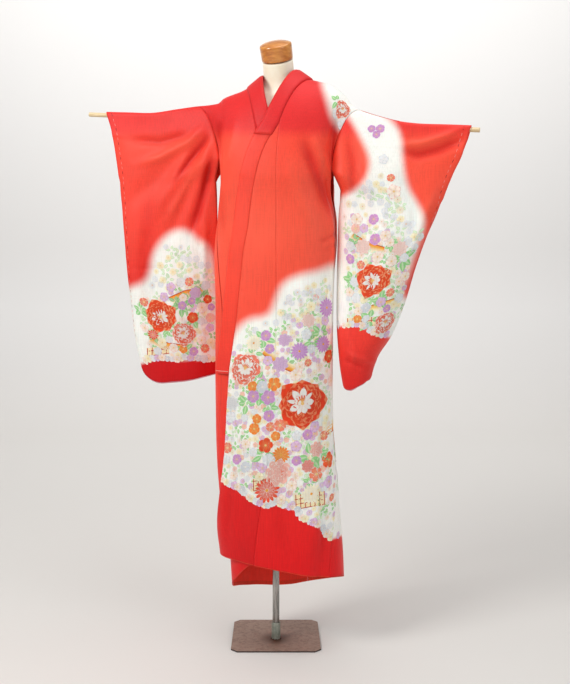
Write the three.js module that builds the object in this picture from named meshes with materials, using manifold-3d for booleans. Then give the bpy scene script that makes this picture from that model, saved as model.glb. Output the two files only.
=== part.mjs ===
// A long-sleeved kimono worn on a limbless dress form that stands on a steel plate.
// Millimetres, +Z up, the wearer faces -Y, the wearer's left is +X.
// The origin is the centre of the base plate's underside, on the pole's axis.
import * as THREE from 'three';
import Module from 'manifold-3d';

const wasm = await Module();
wasm.setup();

// ---------------------------------------------------------------- named sizes
const CLOTH = 2;            // wall of a silk panel with its turned edges
const COLLAR_CLOTH = 3;     // the collar is a band folded in four
const COVER_CLOTH = 1.6;    // the cover band on the collar
const SEAM = 0.3;           // gap between two pieces at a seam
const LAYER = 9;            // how far the outer front lies over the inner front
const BACK_WIDTH = 300;     // flat half width of the back
const FRONT_WIDTH = 245;    // flat width of a front
const NECK_CUT = 190;       // flat distance from the armhole to the neck at the shoulder
const CHEST_Z = 1500;       // below this the body is a tube, above it hangs from the shoulders
const SLEEVE_WIDTH = 345;
const SLEEVE_LENGTH = 945;
const SLEEVE_CORNER = 80;   // rounding of the sleeve's outer bottom corner
const CUFF = 230;           // open length of the sleeve's outer edge
const SEWN = 220;           // length of the sleeve sewn to the body

// ---------------------------------------------------------------- tables
// A table is its column names and one row for each section; at(key, column) reads
// between the rows with a smooth curve that doesn't overshoot.
function table(columns, rows) {
  const keys = rows.map((r) => r[0]);
  const rising = keys[keys.length - 1] > keys[0];
  const order = rising ? rows : [...rows].reverse();
  const k = order.map((r) => r[0]);
  const slopes = columns.map((_, c) => {
    const d = [];
    for (let i = 0; i + 1 < order.length; i++) d.push((order[i + 1][c] - order[i][c]) / (k[i + 1] - k[i]));
    return order.map((_, i) => {
      if (i === 0) return d[0];
      if (i === order.length - 1) return d[d.length - 1];
      if (d[i - 1] * d[i] <= 0) return 0;
      return (2 * d[i - 1] * d[i]) / (d[i - 1] + d[i]);
    });
  });
  return (key, column) => {
    const c = columns.indexOf(column);
    if (c < 0) throw new Error('no column ' + column);
    if (key <= k[0]) return order[0][c] + slopes[c][0] * (key - k[0]);
    const last = order.length - 1;
    if (key >= k[last]) return order[last][c] + slopes[c][last] * (key - k[last]);
    let i = 0;
    while (key > k[i + 1]) i++;
    const h = k[i + 1] - k[i], t = (key - k[i]) / h, t2 = t * t, t3 = t2 * t;
    return (2 * t3 - 3 * t2 + 1) * order[i][c] + (t3 - 2 * t2 + t) * h * slopes[c][i]
      + (-2 * t3 + 3 * t2) * order[i + 1][c] + (t3 - t2) * h * slopes[c][i + 1];
  };
}

// The body tube: extremes of its horizontal section at each height.
const TUBE = table(['z', 'right_x', 'left_x', 'front_y', 'back_y'], [
  [100, -139, 226, -121, 128],
  [270, -150, 222, -121, 126],
  [460, -186, 209, -119, 122],
  [575, -200, 200, -118, 120],
  [715, -207, 188, -118, 119],
  [900, -209, 186, -118, 119],
  [1040, -208, 186, -119, 121],
  [1190, -203, 190, -121, 122],
  [1300, -198, 197, -122, 120],
  [1400, -194, 194, -123, 118],
  [1450, -190, 189, -125, 118],
  [1500, -184, 196, -128, 119],
]);
// Where the seams cross the tube: arc lengths from the middle of the back, positive to the
// wearer's left. gap_f and gap_b are the two halves of the side opening under the arm.
const SEAMS = table(['z', 'side_left', 'side_right', 'centre_back', 'gap_f', 'gap_b'], [
  [100, 336, -262, 34, 0, 0],
  [270, 328, -270, 30, 0, 0],
  [575, 265, -330, -30, 0, 0],
  [800, 236, -360, -60, 0, 0],
  [1040, 218, -372, -70, 0, 0],
  [1200, 222, -345, -48, 0, 0],
  [1360, 236, -290, -20, 0, 0],
  [1420, 240, -266, -8, 10, 24],
  [1500, 246, -250, 0, 38, 56],
]);
// Where the seams of the overlap panels cross the front.
const OKUMI_SEAM = table(['z', 'left_x', 'right_x'], [
  [100, -40, 20], [286, -33, 20], [487, -7, 48], [644, 13, 66], [800, 24, 82], [885, 31, 88], [970, 36, 92],
  [1115, 39, 88], [1331, 39, 30], [1500, 40, -30],
]);
// Width of the overlap panel from its seam to its edge at each height.
const OKUMI = table(['z', 'width'], [
  [100, 152], [500, 152], [877, 152], [966, 143], [1040, 133], [1114, 125], [1190, 116],
  [1270, 107], [1340, 92], [1430, 80], [1520, 62], [1600, 38], [1650, 13], [1678, 2], [1730, 1.6],
]);
// Height of the hem at each flat distance from the centre back (left) and round to the free edges.
const HEM_LEFT = table(['from_back', 'z'], [
  [0, 163], [60, 178], [121, 197], [180, 216], [231, 235], [300, 243], [370, 253], [430, 262], [500, 270], [570, 276],
  [640, 281], [700, 283],
]);
const HEM_RIGHT = table(['from_back', 'z'], [
  [0, 163], [64, 147], [124, 141], [204, 148], [250, 157], [300, 168], [380, 212], [470, 274], [545, 296], [700, 306],
]);
// The line of the shoulders, from the right armhole over the neck to the left one.
const CREST = table(['x', 'y', 'z'], [
  [-283, 0, 1764], [-245, 1, 1765], [-205, 4, 1769], [-184, 6, 1785], [-150, 10, 1797], [-124, 13, 1805],
  [-105, 14, 1813], [-60, 6, 1832], [6, 0, 1846], [70, 6, 1842], [121, 14, 1828], [145, 12, 1821],
  [172, 8, 1812], [198, 4, 1797], [231, 1, 1768], [258, 0, 1734], [279, 0, 1720],
]);
const NECK_SIDE = { left: 121, right: -105 };
const ARMHOLE = { left: 279, right: -283 };
const NECK_BACK = { x: 2, y: 108, z: 1802 };

// The dress form: level ovals, the neck leaning forward.
const FORM = table(['z', 'half_width', 'half_depth', 'centre_y', 'lean'], [
  [1100, 158, 100, 4, 0], [1108, 163, 104, 4, 0], [1200, 165, 108, 4, 0], [1300, 144, 96, 4, 0],
  [1400, 128, 88, 3, 0], [1500, 154, 102, 0, 0], [1600, 160, 94, 3, 0], [1700, 164, 74, 5, 0],
  [1735, 162, 60, 6, 0], [1756, 154, 52, 7, 0], [1771, 140, 45, 9, 0], [1784, 116, 40, 11, 0],
  [1797, 90, 38, 19, 4], [1810, 66, 43, 29, 8], [1832, 56, 50, 38, 14], [1860, 51, 49, 33, 22], [1904, 50, 50, 19, 30],
]);
const FORM_RINGS = [1100, 1108, 1150, 1200, 1260, 1320, 1400, 1460, 1520, 1590, 1660, 1705, 1735, 1756, 1771, 1784, 1797, 1810, 1832, 1860, 1904];
const FORM_SIDES = 28;
const FORM_CLEAR = 4;       // the cloth's middle surface stays this far from the form

// ---------------------------------------------------------------- small helpers
const clamp = (v, a, b) => Math.min(b, Math.max(a, v));
const smooth = (a, b, v) => { const t = clamp((v - a) / (b - a), 0, 1); return t * t * (3 - 2 * t); };
const mix = (a, b, t) => a + (b - a) * t;
const V = (x, y, z) => new THREE.Vector3(x, y, z);
const power = (v, e) => Math.sign(v) * Math.abs(v) ** e;

// ---------------------------------------------------------------- the body tube
const ROUNDNESS = 2.3, OVAL_STEPS = 96;
const ovals = new Map();
// The oval at a height as points with their arc length from the middle of the back.
function oval(z) {
  const key = Math.round(z * 2);
  if (!ovals.has(key)) {
    const h = key / 2, x0 = TUBE(h, 'right_x'), x1 = TUBE(h, 'left_x');
    const cx = (x0 + x1) / 2, a = (x1 - x0) / 2, f = -TUBE(h, 'front_y'), b = TUBE(h, 'back_y');
    const points = [], lengths = [0];
    for (let i = 0; i <= OVAL_STEPS; i++) {
      const t = (i / OVAL_STEPS) * 2 * Math.PI, s = Math.sin(t), c = Math.cos(t);
      points.push([cx + a * power(s, 2 / ROUNDNESS), (c > 0 ? b : f) * power(c, 2 / ROUNDNESS)]);
      if (i) lengths.push(lengths[i - 1] + Math.hypot(points[i][0] - points[i - 1][0], points[i][1] - points[i - 1][1]));
    }
    ovals.set(key, { points, lengths, round: lengths[OVAL_STEPS] });
  }
  return ovals.get(key);
}
// A point on the tube at height z and arc length s, moved out by off.
function tube(z, s, off = 0) {
  const o = oval(z), r = o.round;
  const place = (q) => {
    const v = ((q % r) + r) % r;
    let lo = 0, hi = OVAL_STEPS;
    while (hi - lo > 1) { const m = (lo + hi) >> 1; if (o.lengths[m] <= v) lo = m; else hi = m; }
    const t = (v - o.lengths[lo]) / (o.lengths[hi] - o.lengths[lo] || 1);
    return [mix(o.points[lo][0], o.points[hi][0], t), mix(o.points[lo][1], o.points[hi][1], t)];
  };
  const p = place(s), a = place(s - 14), b = place(s + 14);
  const dx = b[0] - a[0], dy = b[1] - a[1], l = Math.hypot(dx, dy) || 1;
  return V(p[0] - (dy / l) * off, p[1] + (dx / l) * off, z);
}

// ---------------------------------------------------------------- the body panels
// side is +1 for the wearer's left, -1 for the right; c is the flat distance from the armhole
// or side seam towards the centre; fold(side, face, c, z) moves the cloth in or out.
const nameOf = (side) => (side > 0 ? 'left' : 'right');
const sideSeam = (side, z) => SEAMS(z, 'side_' + nameOf(side));
// The arc length at which a place x across is on the front.
const arcCache = new Map();
function arcAtX(z, x) {
  const key = Math.round(z * 2) + '_' + Math.round(x * 4);
  if (!arcCache.has(key)) {
    let lo = oval(z).round * 0.3, hi = oval(z).round * 0.7;
    for (let i = 0; i < 30; i++) { const m = (lo + hi) / 2; if (tube(z, m).x > x) lo = m; else hi = m; }
    arcCache.set(key, (lo + hi) / 2);
  }
  return arcCache.get(key);
}
function frontArc(side, c, z) {
  const edge = sideSeam(side, z) + side * SEAMS(z, 'gap_f');
  const across = arcAtX(z, OKUMI_SEAM(z, nameOf(side) + '_x')), seam = side > 0 ? across : across - oval(z).round;
  return c <= FRONT_WIDTH ? mix(edge, seam, c / FRONT_WIDTH) : seam + side * (c - FRONT_WIDTH);
}
function backArc(side, c, z) {
  const edge = sideSeam(side, z) - side * SEAMS(z, 'gap_b'), middle = SEAMS(z, 'centre_back');
  return mix(edge, middle, c / BACK_WIDTH);
}
// Soft folds: a row each. face f front, b back; c and z its middle, its half width and half
// length, depth outward, lean sideways per length.
const BODY_FOLDS = [
  // side, face, c, z, half_width, half_length, depth, lean
  [1, 'b', 38, 1420, 26, 260, 9, 0.08],
  [1, 'b', 95, 1330, 30, 330, -7, 0.06],
  [1, 'b', 165, 1180, 40, 420, 6, 0.02],
  [-1, 'b', 42, 1410, 26, 260, 9, 0.08],
  [-1, 'b', 105, 1300, 32, 340, -7, 0.05],
  [-1, 'b', 180, 1150, 40, 420, 6, 0.02],
  [1, 'b', 230, 330, 50, 330, 10, 0],
  [-1, 'b', 150, 330, 50, 300, 9, 0],
  [-1, 'b', 60, 600, 38, 380, -6, 0],
  [1, 'f', 70, 420, 40, 340, 4, 0],
  [1, 'f', 36, 250, 22, 190, -6, 0],
  [1, 'f', 26, 1555, 17, 85, -17, 0.02],
  [1, 'f', 70, 1560, 26, 130, 5, 0.1],
  [-1, 'f', 24, 1585, 15, 60, -13, 0.02],
  [-1, 'f', 62, 1600, 26, 120, 5, 0.1],
];
function folds(side, face, c, z) {
  let d = 0;
  for (const [s, f, fc, fz, w, l, depth, lean] of BODY_FOLDS) {
    if (s !== side || f !== face) continue;
    const dz = z - fz, dc = c - fc - lean * dz;
    d += depth * Math.exp(-((dc / w) ** 2)) * Math.exp(-((dz / l) ** 2));
  }
  return d;
}
// How far a front lies off the tube: the left one over the right one.
function frontLift(side, c, z) {
  const up = 1 - smooth(1725, 1815, z);
  if (side > 0) {
    const flare = 24 * smooth(290, 400, c) * (1 - smooth(270, 640, z));
    return (LAYER * smooth(10, 75, c) + flare) * mix(0.4, 1, up);
  }
  return -7 * smooth(215, 330, c) * up;
}
const RIB_STEPS = 24;
// The rib of a column: its top on the shoulder or the neck, its foot on the tube, and its shape.
function rib(side, face, c) {
  const n = nameOf(side), arm = ARMHOLE[n], neck = NECK_SIDE[n];
  let top;
  if (face === 'b' && c > NECK_CUT) {
    const t = ((c - NECK_CUT) / (BACK_WIDTH - NECK_CUT)) * (Math.PI / 2);
    const k = V(neck, CREST(neck, 'y'), CREST(neck, 'z'));
    top = V(mix(NECK_BACK.x, k.x, Math.cos(t)), mix(k.y, NECK_BACK.y, Math.sin(t)), mix(NECK_BACK.z, k.z, Math.cos(t)));
  } else {
    const x = arm + ((neck - arm) * c) / NECK_CUT;
    top = V(x, CREST(x, 'y'), CREST(x, 'z'));
  }
  const z = CHEST_Z, lift = face === 'f' ? frontLift(side, c, z) : 0;
  const foot = tube(z, face === 'f' ? frontArc(side, c, z) : backArc(side, c, z), lift);
  const body = clamp(c / 150, 0, 1);
  return { top, foot, e: mix(1.1, 1.02, smooth(0, 1, body)), h: mix(1.02, 1.15, clamp(c / 220, 0, 1)) };
}
// A point on a panel: down is 0 on the shoulder, 1 at chest height, and below that
// 1 + (CHEST_Z - z) / 100.
function panel(side, face, c, down) {
  if (down <= 1) {
    const r = rib(side, face, c), t = (Math.max(down, 0) * Math.PI) / 2;
    const s = Math.sin(t) ** r.e, k = Math.cos(t) ** r.e;
    const y = mix(r.top.y, r.foot.y, s), z = mix(r.foot.z, r.top.z, k);
    const x = mix(r.top.x, r.foot.x, Math.sin(t) ** r.h);
    const f = folds(side, face, c, z) * smooth(0, 0.35, down);
    return V(x, y + (face === 'f' ? -f : f), z);
  }
  const z = CHEST_Z - (down - 1) * 100;
  const arc = face === 'f' ? frontArc(side, c, z) : backArc(side, c, z);
  return tube(z, arc, (face === 'f' ? frontLift(side, c, z) : 0) + folds(side, face, c, z));
}
const downOf = (z) => 1 + (CHEST_Z - z) / 100;
// Its outward direction there.
function outward(side, face, c, down) {
  const a = panel(side, face, c - 6, down), b = panel(side, face, c + 6, down);
  const up = Math.max(down - 0.05, 0.0), p = panel(side, face, c, up), q = panel(side, face, c, up + 0.1);
  const n = V(0, 0, 0).crossVectors(b.sub(a), q.sub(p)).normalize();
  const out = (side > 0) === (face === 'f') ? 1 : -1;
  return n.multiplyScalar(out);
}
// Keeps a point of the cloth off the form.
function formRadiusAt(z) {
  return { a: FORM(z, 'half_width') + FORM_CLEAR, b: FORM(z, 'half_depth') + FORM_CLEAR, y: FORM(z, 'centre_y') };
}
function clearOfForm(p) {
  if (p.z < 1100 || p.z > 1800) return p;
  const f = formRadiusAt(p.z), r = Math.hypot(p.x / f.a, (p.y - f.y) / f.b);
  if (r >= 1 || r < 0.05) return p;
  return V(p.x / r, f.y + (p.y - f.y) / r, p.z);
}

// ---------------------------------------------------------------- walls from surfaces
// A closed wall from a surface's points, its outward directions and its triangles.
function wall(points, normals, faces, thickness) {
  const n = points.length, position = [], index = [];
  for (const s of [0.5, -0.5]) {
    points.forEach((p, i) => position.push(
      p.x + normals[i].x * thickness * s, p.y + normals[i].y * thickness * s, p.z + normals[i].z * thickness * s));
  }
  let agree = 0;
  const ab = V(), ac = V();
  for (const [a, b, c] of faces) {
    ab.subVectors(points[b], points[a]);
    ac.subVectors(points[c], points[a]);
    agree += ab.cross(ac).dot(normals[a]) > 0 ? 1 : -1;
  }
  const turned = agree < 0 ? faces.map(([a, b, c]) => [a, c, b]) : faces;
  const edges = new Map();
  for (const [a, b, c] of turned) {
    index.push(a, b, c, a + n, c + n, b + n);
    for (const [u, v] of [[a, b], [b, c], [c, a]]) edges.set(u + '_' + v, [u, v]);
  }
  for (const [u, v] of edges.values()) {
    if (!edges.has(v + '_' + u)) index.push(v, u, u + n, v, u + n, v + n);
  }
  const g = new THREE.BufferGeometry();
  g.setAttribute('position', new THREE.Float32BufferAttribute(position, 3));
  g.setIndex(index);
  g.computeVertexNormals();
  return g;
}
// A surface from rows of points; rows may share points by reference.
class Surface {
  constructor() { this.points = []; this.normals = []; this.faces = []; this.known = new Map(); }
  add(p, n) { this.points.push(p); this.normals.push(n); return this.points.length - 1; }
  grid(rows) {
    for (let j = 0; j + 1 < rows.length; j++) {
      for (let i = 0; i + 1 < rows[j].length; i++) {
        const a = rows[j][i], b = rows[j][i + 1], c = rows[j + 1][i + 1], d = rows[j + 1][i];
        const diag1 = this.points[a].distanceTo(this.points[c]), diag2 = this.points[b].distanceTo(this.points[d]);
        if (diag1 <= diag2) this.faces.push([a, b, c], [a, c, d]);
        else this.faces.push([a, b, d], [b, c, d]);
      }
    }
  }
  wall(thickness) { return wall(this.points, this.normals, this.faces, thickness); }
}

// ---------------------------------------------------------------- rows shared by body and sleeve
// Distances down the armhole from the shoulder at which both have a row.
const ARM_ROWS = [0, 3, 9, 20, 38, 62, 96, 135, 178, SEWN];
const edgeTables = {};
// down as a function of distance along the armhole edge.
function edgeDown(side, face, distance) {
  const key = side + face;
  if (!edgeTables[key]) {
    const rows = [];
    let last = panel(side, face, 0, 0), sum = 0;
    for (let i = 0; i <= 400; i++) {
      const d = i / 400, p = panel(side, face, 0, d);
      sum += p.distanceTo(last);
      rows.push([sum, d]);
      last = p;
    }
    edgeTables[key] = rows;
  }
  const rows = edgeTables[key];
  if (distance <= 0) return 0;
  for (let i = 1; i < rows.length; i++) {
    if (rows[i][0] >= distance) {
      const t = (distance - rows[i - 1][0]) / (rows[i][0] - rows[i - 1][0] || 1);
      return mix(rows[i - 1][1], rows[i][1], t);
    }
  }
  return 1;
}
const TIP_ROW = { left: 7, right: 8 }; // the row at which each overlap panel's tip lies
const TUBE_ROWS = [1500, 1455, 1400, 1345, 1270, 1190, 1110, 1030, 950, 877, 760, 640, 520, 410, 320];
const COLLAR_END_Z = 877;
function downRows(side, face) {
  const rows = ARM_ROWS.map((d) => edgeDown(side, face, d));
  const left = 1 - rows[rows.length - 1];
  if (left > 0.12) rows.push(1 - left / 2);
  return rows;
}
function hemZ(side, fromBack) { return (side > 0 ? HEM_LEFT : HEM_RIGHT)(fromBack, 'z'); }
// Distance from the centre back, laid flat, of a column.
const flatAt = (face, c) => (face === 'b' ? BACK_WIDTH - c : BACK_WIDTH + c);

// The inner edge of a front: the neck cut down to the overlap panel's tip, then that panel's seam.
const tipDown = (side) => edgeDown(side, 'f', ARM_ROWS[TIP_ROW[nameOf(side)]]);
function frontEdge(side, down) {
  const t = clamp(down / tipDown(side), 0, 1);
  return mix(NECK_CUT, FRONT_WIDTH, side > 0 ? t ** 1.25 : t ** 1.6);
}
// The collar seam: the front's edge, then the overlap panel's.
function seamEdge(side, down) {
  if (down < tipDown(side) - 1e-6) return frontEdge(side, down);
  const z = panel(side, 'f', FRONT_WIDTH, down).z + (side > 0 ? 0 : 12);
  return FRONT_WIDTH + Math.max(OKUMI(z, 'width'), 1.6);
}

const BACK_COLUMNS = 10, SHOULDER_COLUMNS = 6;
function bodyGeometry(side) {
  const s = new Surface(), half = SEAM / 2;
  const point = (face, c, down, inset = 0) => clearOfForm(panel(side, face, c, down));
  const put = (face, c, down) => s.add(point(face, c, down), outward(side, face, clamp(c, 0, 1e9), Math.max(down, 0.02)));
  // Shoulder row, shared by the front and the back.
  const shoulder = [];
  for (let i = 0; i <= SHOULDER_COLUMNS; i++) {
    const c = half + ((NECK_CUT - half) * i) / SHOULDER_COLUMNS;
    const n = outward(side, 'f', c, 0.03).add(outward(side, 'b', c, 0.03)).normalize();
    shoulder.push(s.add(point('f', c, 0), n));
  }
  // Front, from the shoulder to the hem.
  const front = [shoulder];
  const upper = downRows(side, 'f').slice(1);
  for (const down of upper) {
    const row = [], inner = frontEdge(side, down) - half;
    for (let i = 0; i <= SHOULDER_COLUMNS; i++) row.push(put('f', mix(half, inner, i / SHOULDER_COLUMNS), down));
    front.push(row);
  }
  for (const [k, z] of TUBE_ROWS.entries()) {
    const row = [];
    for (let i = 0; i <= SHOULDER_COLUMNS; i++) {
      const c = mix(half, FRONT_WIDTH - half, i / SHOULDER_COLUMNS);
      row.push(put('f', c, downOf(z)));
    }
    front.push(row);
  }
  const frontHem = [];
  for (let i = 0; i <= SHOULDER_COLUMNS; i++) {
    const c = mix(half, FRONT_WIDTH - half, i / SHOULDER_COLUMNS);
    frontHem.push(put('f', c, downOf(hemZ(side, flatAt('f', c)))));
  }
  front.push(frontHem);
  s.grid(front);
  // Back, from the shoulder and the neck to the hem.
  const back = [];
  const neckColumns = BACK_COLUMNS - SHOULDER_COLUMNS;
  const columnAt = (i) => (i <= SHOULDER_COLUMNS
    ? half + ((NECK_CUT - half) * i) / SHOULDER_COLUMNS
    : mix(NECK_CUT, BACK_WIDTH - half, (i - SHOULDER_COLUMNS) / neckColumns));
  const first = [...shoulder];
  for (let i = SHOULDER_COLUMNS + 1; i <= BACK_COLUMNS; i++) first.push(put('b', columnAt(i), 0));
  back.push(first);
  for (const down of downRows(side, 'b').slice(1)) back.push([...Array(BACK_COLUMNS + 1).keys()].map((i) => put('b', columnAt(i), down)));
  for (const z of [...TUBE_ROWS, 230]) {
    back.push([...Array(BACK_COLUMNS + 1).keys()].map((i) => put('b', columnAt(i), downOf(Math.max(z, hemZ(side, flatAt('b', columnAt(i))) + 40)))));
  }
  back.push([...Array(BACK_COLUMNS + 1).keys()].map((i) => put('b', columnAt(i), downOf(hemZ(side, flatAt('b', columnAt(i)))))));
  s.grid(back.reverse());
  return s.wall(CLOTH);
}

// ---------------------------------------------------------------- overlap panels
const OKUMI_COLUMNS = 4;
// The rows of a front as distances down its ribs and its tube.
const frontRows = (side) => [...downRows(side, 'f'), ...TUBE_ROWS.map(downOf)];
function okumiGeometry(side) {
  const s = new Surface(), half = SEAM / 2, rows = [];
  const put = (c, down) => s.add(clearOfForm(panel(side, 'f', c, down)), outward(side, 'f', c, down));
  for (const down of frontRows(side).slice(TIP_ROW[nameOf(side)])) {
    const w = seamEdge(side, down) - FRONT_WIDTH;
    rows.push([...Array(OKUMI_COLUMNS + 1).keys()].map((i) => put(FRONT_WIDTH + half + ((w - half * 2) * i) / OKUMI_COLUMNS, down)));
  }
  const last = [];
  for (let i = 0; i <= OKUMI_COLUMNS; i++) {
    const c = FRONT_WIDTH + half + ((OKUMI(300, 'width') - half * 2) * i) / OKUMI_COLUMNS;
    last.push(put(c, downOf(hemZ(side, flatAt('f', c)))));
  }
  rows.push(last);
  s.grid(rows);
  return s.wall(CLOTH);
}

// ---------------------------------------------------------------- collar
// The collar's free edge round the neck, by turn from the right shoulder (-1) to the left (1).
const COLLAR_FREE = table(['turn', 'x', 'y', 'z'], [
  [-1, -56, 32, 1857], [-0.75, -55, 58, 1860], [-0.5, -44, 82, 1861], [-0.25, -25, 96, 1861], [0, 2, 101, 1861],
  [0.25, 29, 97, 1862], [0.5, 50, 83, 1863], [0.75, 63, 58, 1866], [1, 69, 26, 1867],
]);
const COLLAR_COLUMNS = 3, NECK_TURNS = [0.75, 0.5, 0.25, 0, -0.25, -0.5, -0.75];
// Width of the collar band by distance down the ribs.
const COLLAR_WIDTH = table(['down', 'width'], [[0, 42], [0.3, 40], [0.5, 43], [0.75, 51], [1, 54], [2, 55]]);
const STAND_DOWN = { left: 0.72, right: 1 }; // the collar lies flat on the front below this
const NECK_GAP = 2.2;       // round the neck the collar stands at an angle to the body
// One row across the collar on a front.
function collarRow(side, down) {
  const c = seamEdge(side, down), row = [];
  const seam = panel(side, 'f', c, down), n = outward(side, 'f', c, down);
  const above = Math.max(down - 0.06, 0), below = down + 0.06;
  const along = panel(side, 'f', seamEdge(side, above), above).sub(panel(side, 'f', seamEdge(side, below), below)).normalize();
  const across = V().crossVectors(along, n).normalize();
  if (across.x * side > 0) across.negate();
  const stand = 1 - smooth(0, STAND_DOWN[nameOf(side)], down), start = mix(SEAM * 1.5, NECK_GAP, stand);
  const neck = V(NECK_SIDE[nameOf(side)], 0, 0);
  const rise = V(COLLAR_FREE(side, 'x') - neck.x, COLLAR_FREE(side, 'y') - CREST(neck.x, 'y'), COLLAR_FREE(side, 'z') - CREST(neck.x, 'z'));
  const width = mix(COLLAR_WIDTH(down, 'width'), rise.length(), stand ** 2);
  const lean = across.clone().lerp(rise.normalize(), stand).normalize();
  for (let i = 0; i <= COLLAR_COLUMNS; i++) {
    const t = i / COLLAR_COLUMNS, w = mix(start, COLLAR_WIDTH(down, 'width'), t);
    if (down > 1) { row.push(panel(side, 'f', c + w, down)); continue; }
    row.push(seam.clone().addScaledVector(lean, mix(start, width, t)));
  }
  return row;
}
function collarRows() {
  const rows = [], fronts = {};
  for (const side of [1, -1]) {
    const downs = [...downRows(side, 'f').filter((_, k) => k === 0 || k > 2), ...TUBE_ROWS.filter((z) => z >= COLLAR_END_Z).map(downOf)];
    fronts[side] = downs.map((down) => collarRow(side, down));
  }
  rows.push(...[...fronts[1]].reverse());
  for (const turn of NECK_TURNS) {
    const neck = NECK_SIDE[turn >= 0 ? 'left' : 'right'], a = (1 - Math.abs(turn)) * (Math.PI / 2);
    const k = V(neck, CREST(neck, 'y'), CREST(neck, 'z'));
    const seam = V(mix(NECK_BACK.x, k.x, Math.cos(a)), mix(k.y, NECK_BACK.y, Math.sin(a)), mix(NECK_BACK.z, k.z, Math.cos(a)));
    const free = V(COLLAR_FREE(turn, 'x'), COLLAR_FREE(turn, 'y'), COLLAR_FREE(turn, 'z'));
    seam.addScaledVector(V().subVectors(free, seam).normalize(), NECK_GAP);
    rows.push([...Array(COLLAR_COLUMNS + 1).keys()].map((i) => seam.clone().lerp(free, i / COLLAR_COLUMNS)));
  }
  rows.push(...fronts[-1]);
  return rows;
}
function gridNormals(rows) {
  const a = V(), b = V();
  return rows.map((r, j) => r.map((p, i) => {
    const j0 = Math.max(j - 1, 0), j1 = Math.min(j + 1, rows.length - 1), i0 = Math.max(i - 1, 0), i1 = Math.min(i + 1, r.length - 1);
    a.subVectors(rows[j1][i], rows[j0][i]);
    b.subVectors(rows[j][i1], rows[j][i0]);
    return V().crossVectors(a, b).normalize();
  }));
}
function bandGeometry(rows, thickness, lift) {
  const normals = gridNormals(rows);
  // outward is away from the neck's axis
  let vote = 0;
  rows.forEach((r, j) => r.forEach((p, i) => { vote += normals[j][i].dot(V(p.x, p.y - 20, 0)); }));
  if (vote < 0) normals.forEach((r) => r.forEach((n) => n.negate()));
  const s = new Surface();
  const ids = rows.map((r, j) => r.map((p, i) => s.add(p.clone().addScaledVector(normals[j][i], lift), normals[j][i])));
  s.grid(ids);
  return s.wall(thickness);
}
const COVER_END = [1633, 1635, 1637, 1639]; // height of the cover band's ends, from its seam side
// How far along a column of rows it reaches a height, searched from row a towards row b.
function reach(rows, column, z, from, to) {
  const step = Math.sign(to - from);
  for (let j = from; j !== to; j += step) {
    const p = rows[j][column], q = rows[j + step][column];
    if (p.z <= z && q.z > z) return j + (step * (z - p.z)) / (q.z - p.z);
  }
  throw new Error('no crossing');
}
function pointAt(rows, column, r) {
  const j = clamp(Math.floor(r), 0, rows.length - 2);
  return rows[j][column].clone().lerp(rows[j + 1][column], r - j);
}
const COVER_END_ROWS = 4;
function coverRows(rows) {
  const middle = rows.length >> 1, high = (r) => r.every((p) => p.z > Math.max(...COVER_END) + 3);
  const first = rows.findIndex(high), last = rows.length - 1 - [...rows].reverse().findIndex(high);
  const end = (from, whole) => {
    const starts = COVER_END.map((z, i) => reach(rows, i, z, from, middle));
    return [...Array(COVER_END_ROWS).keys()].map((k) => starts.map((r, i) => pointAt(rows, i, mix(r, whole, k / COVER_END_ROWS))));
  };
  return [...end(0, first), ...rows.slice(first, last + 1).map((r) => r.map((p) => p.clone())), ...end(rows.length - 1, last).reverse()];
}
function collarGeometries() {
  const rows = collarRows();
  return {
    collar: bandGeometry(rows, COLLAR_CLOTH, 0),
    cover: bandGeometry(coverRows(rows), COVER_CLOTH, COLLAR_CLOTH / 2 + COVER_CLOTH / 2 + SEAM + 1.1),
  };
}

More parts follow.
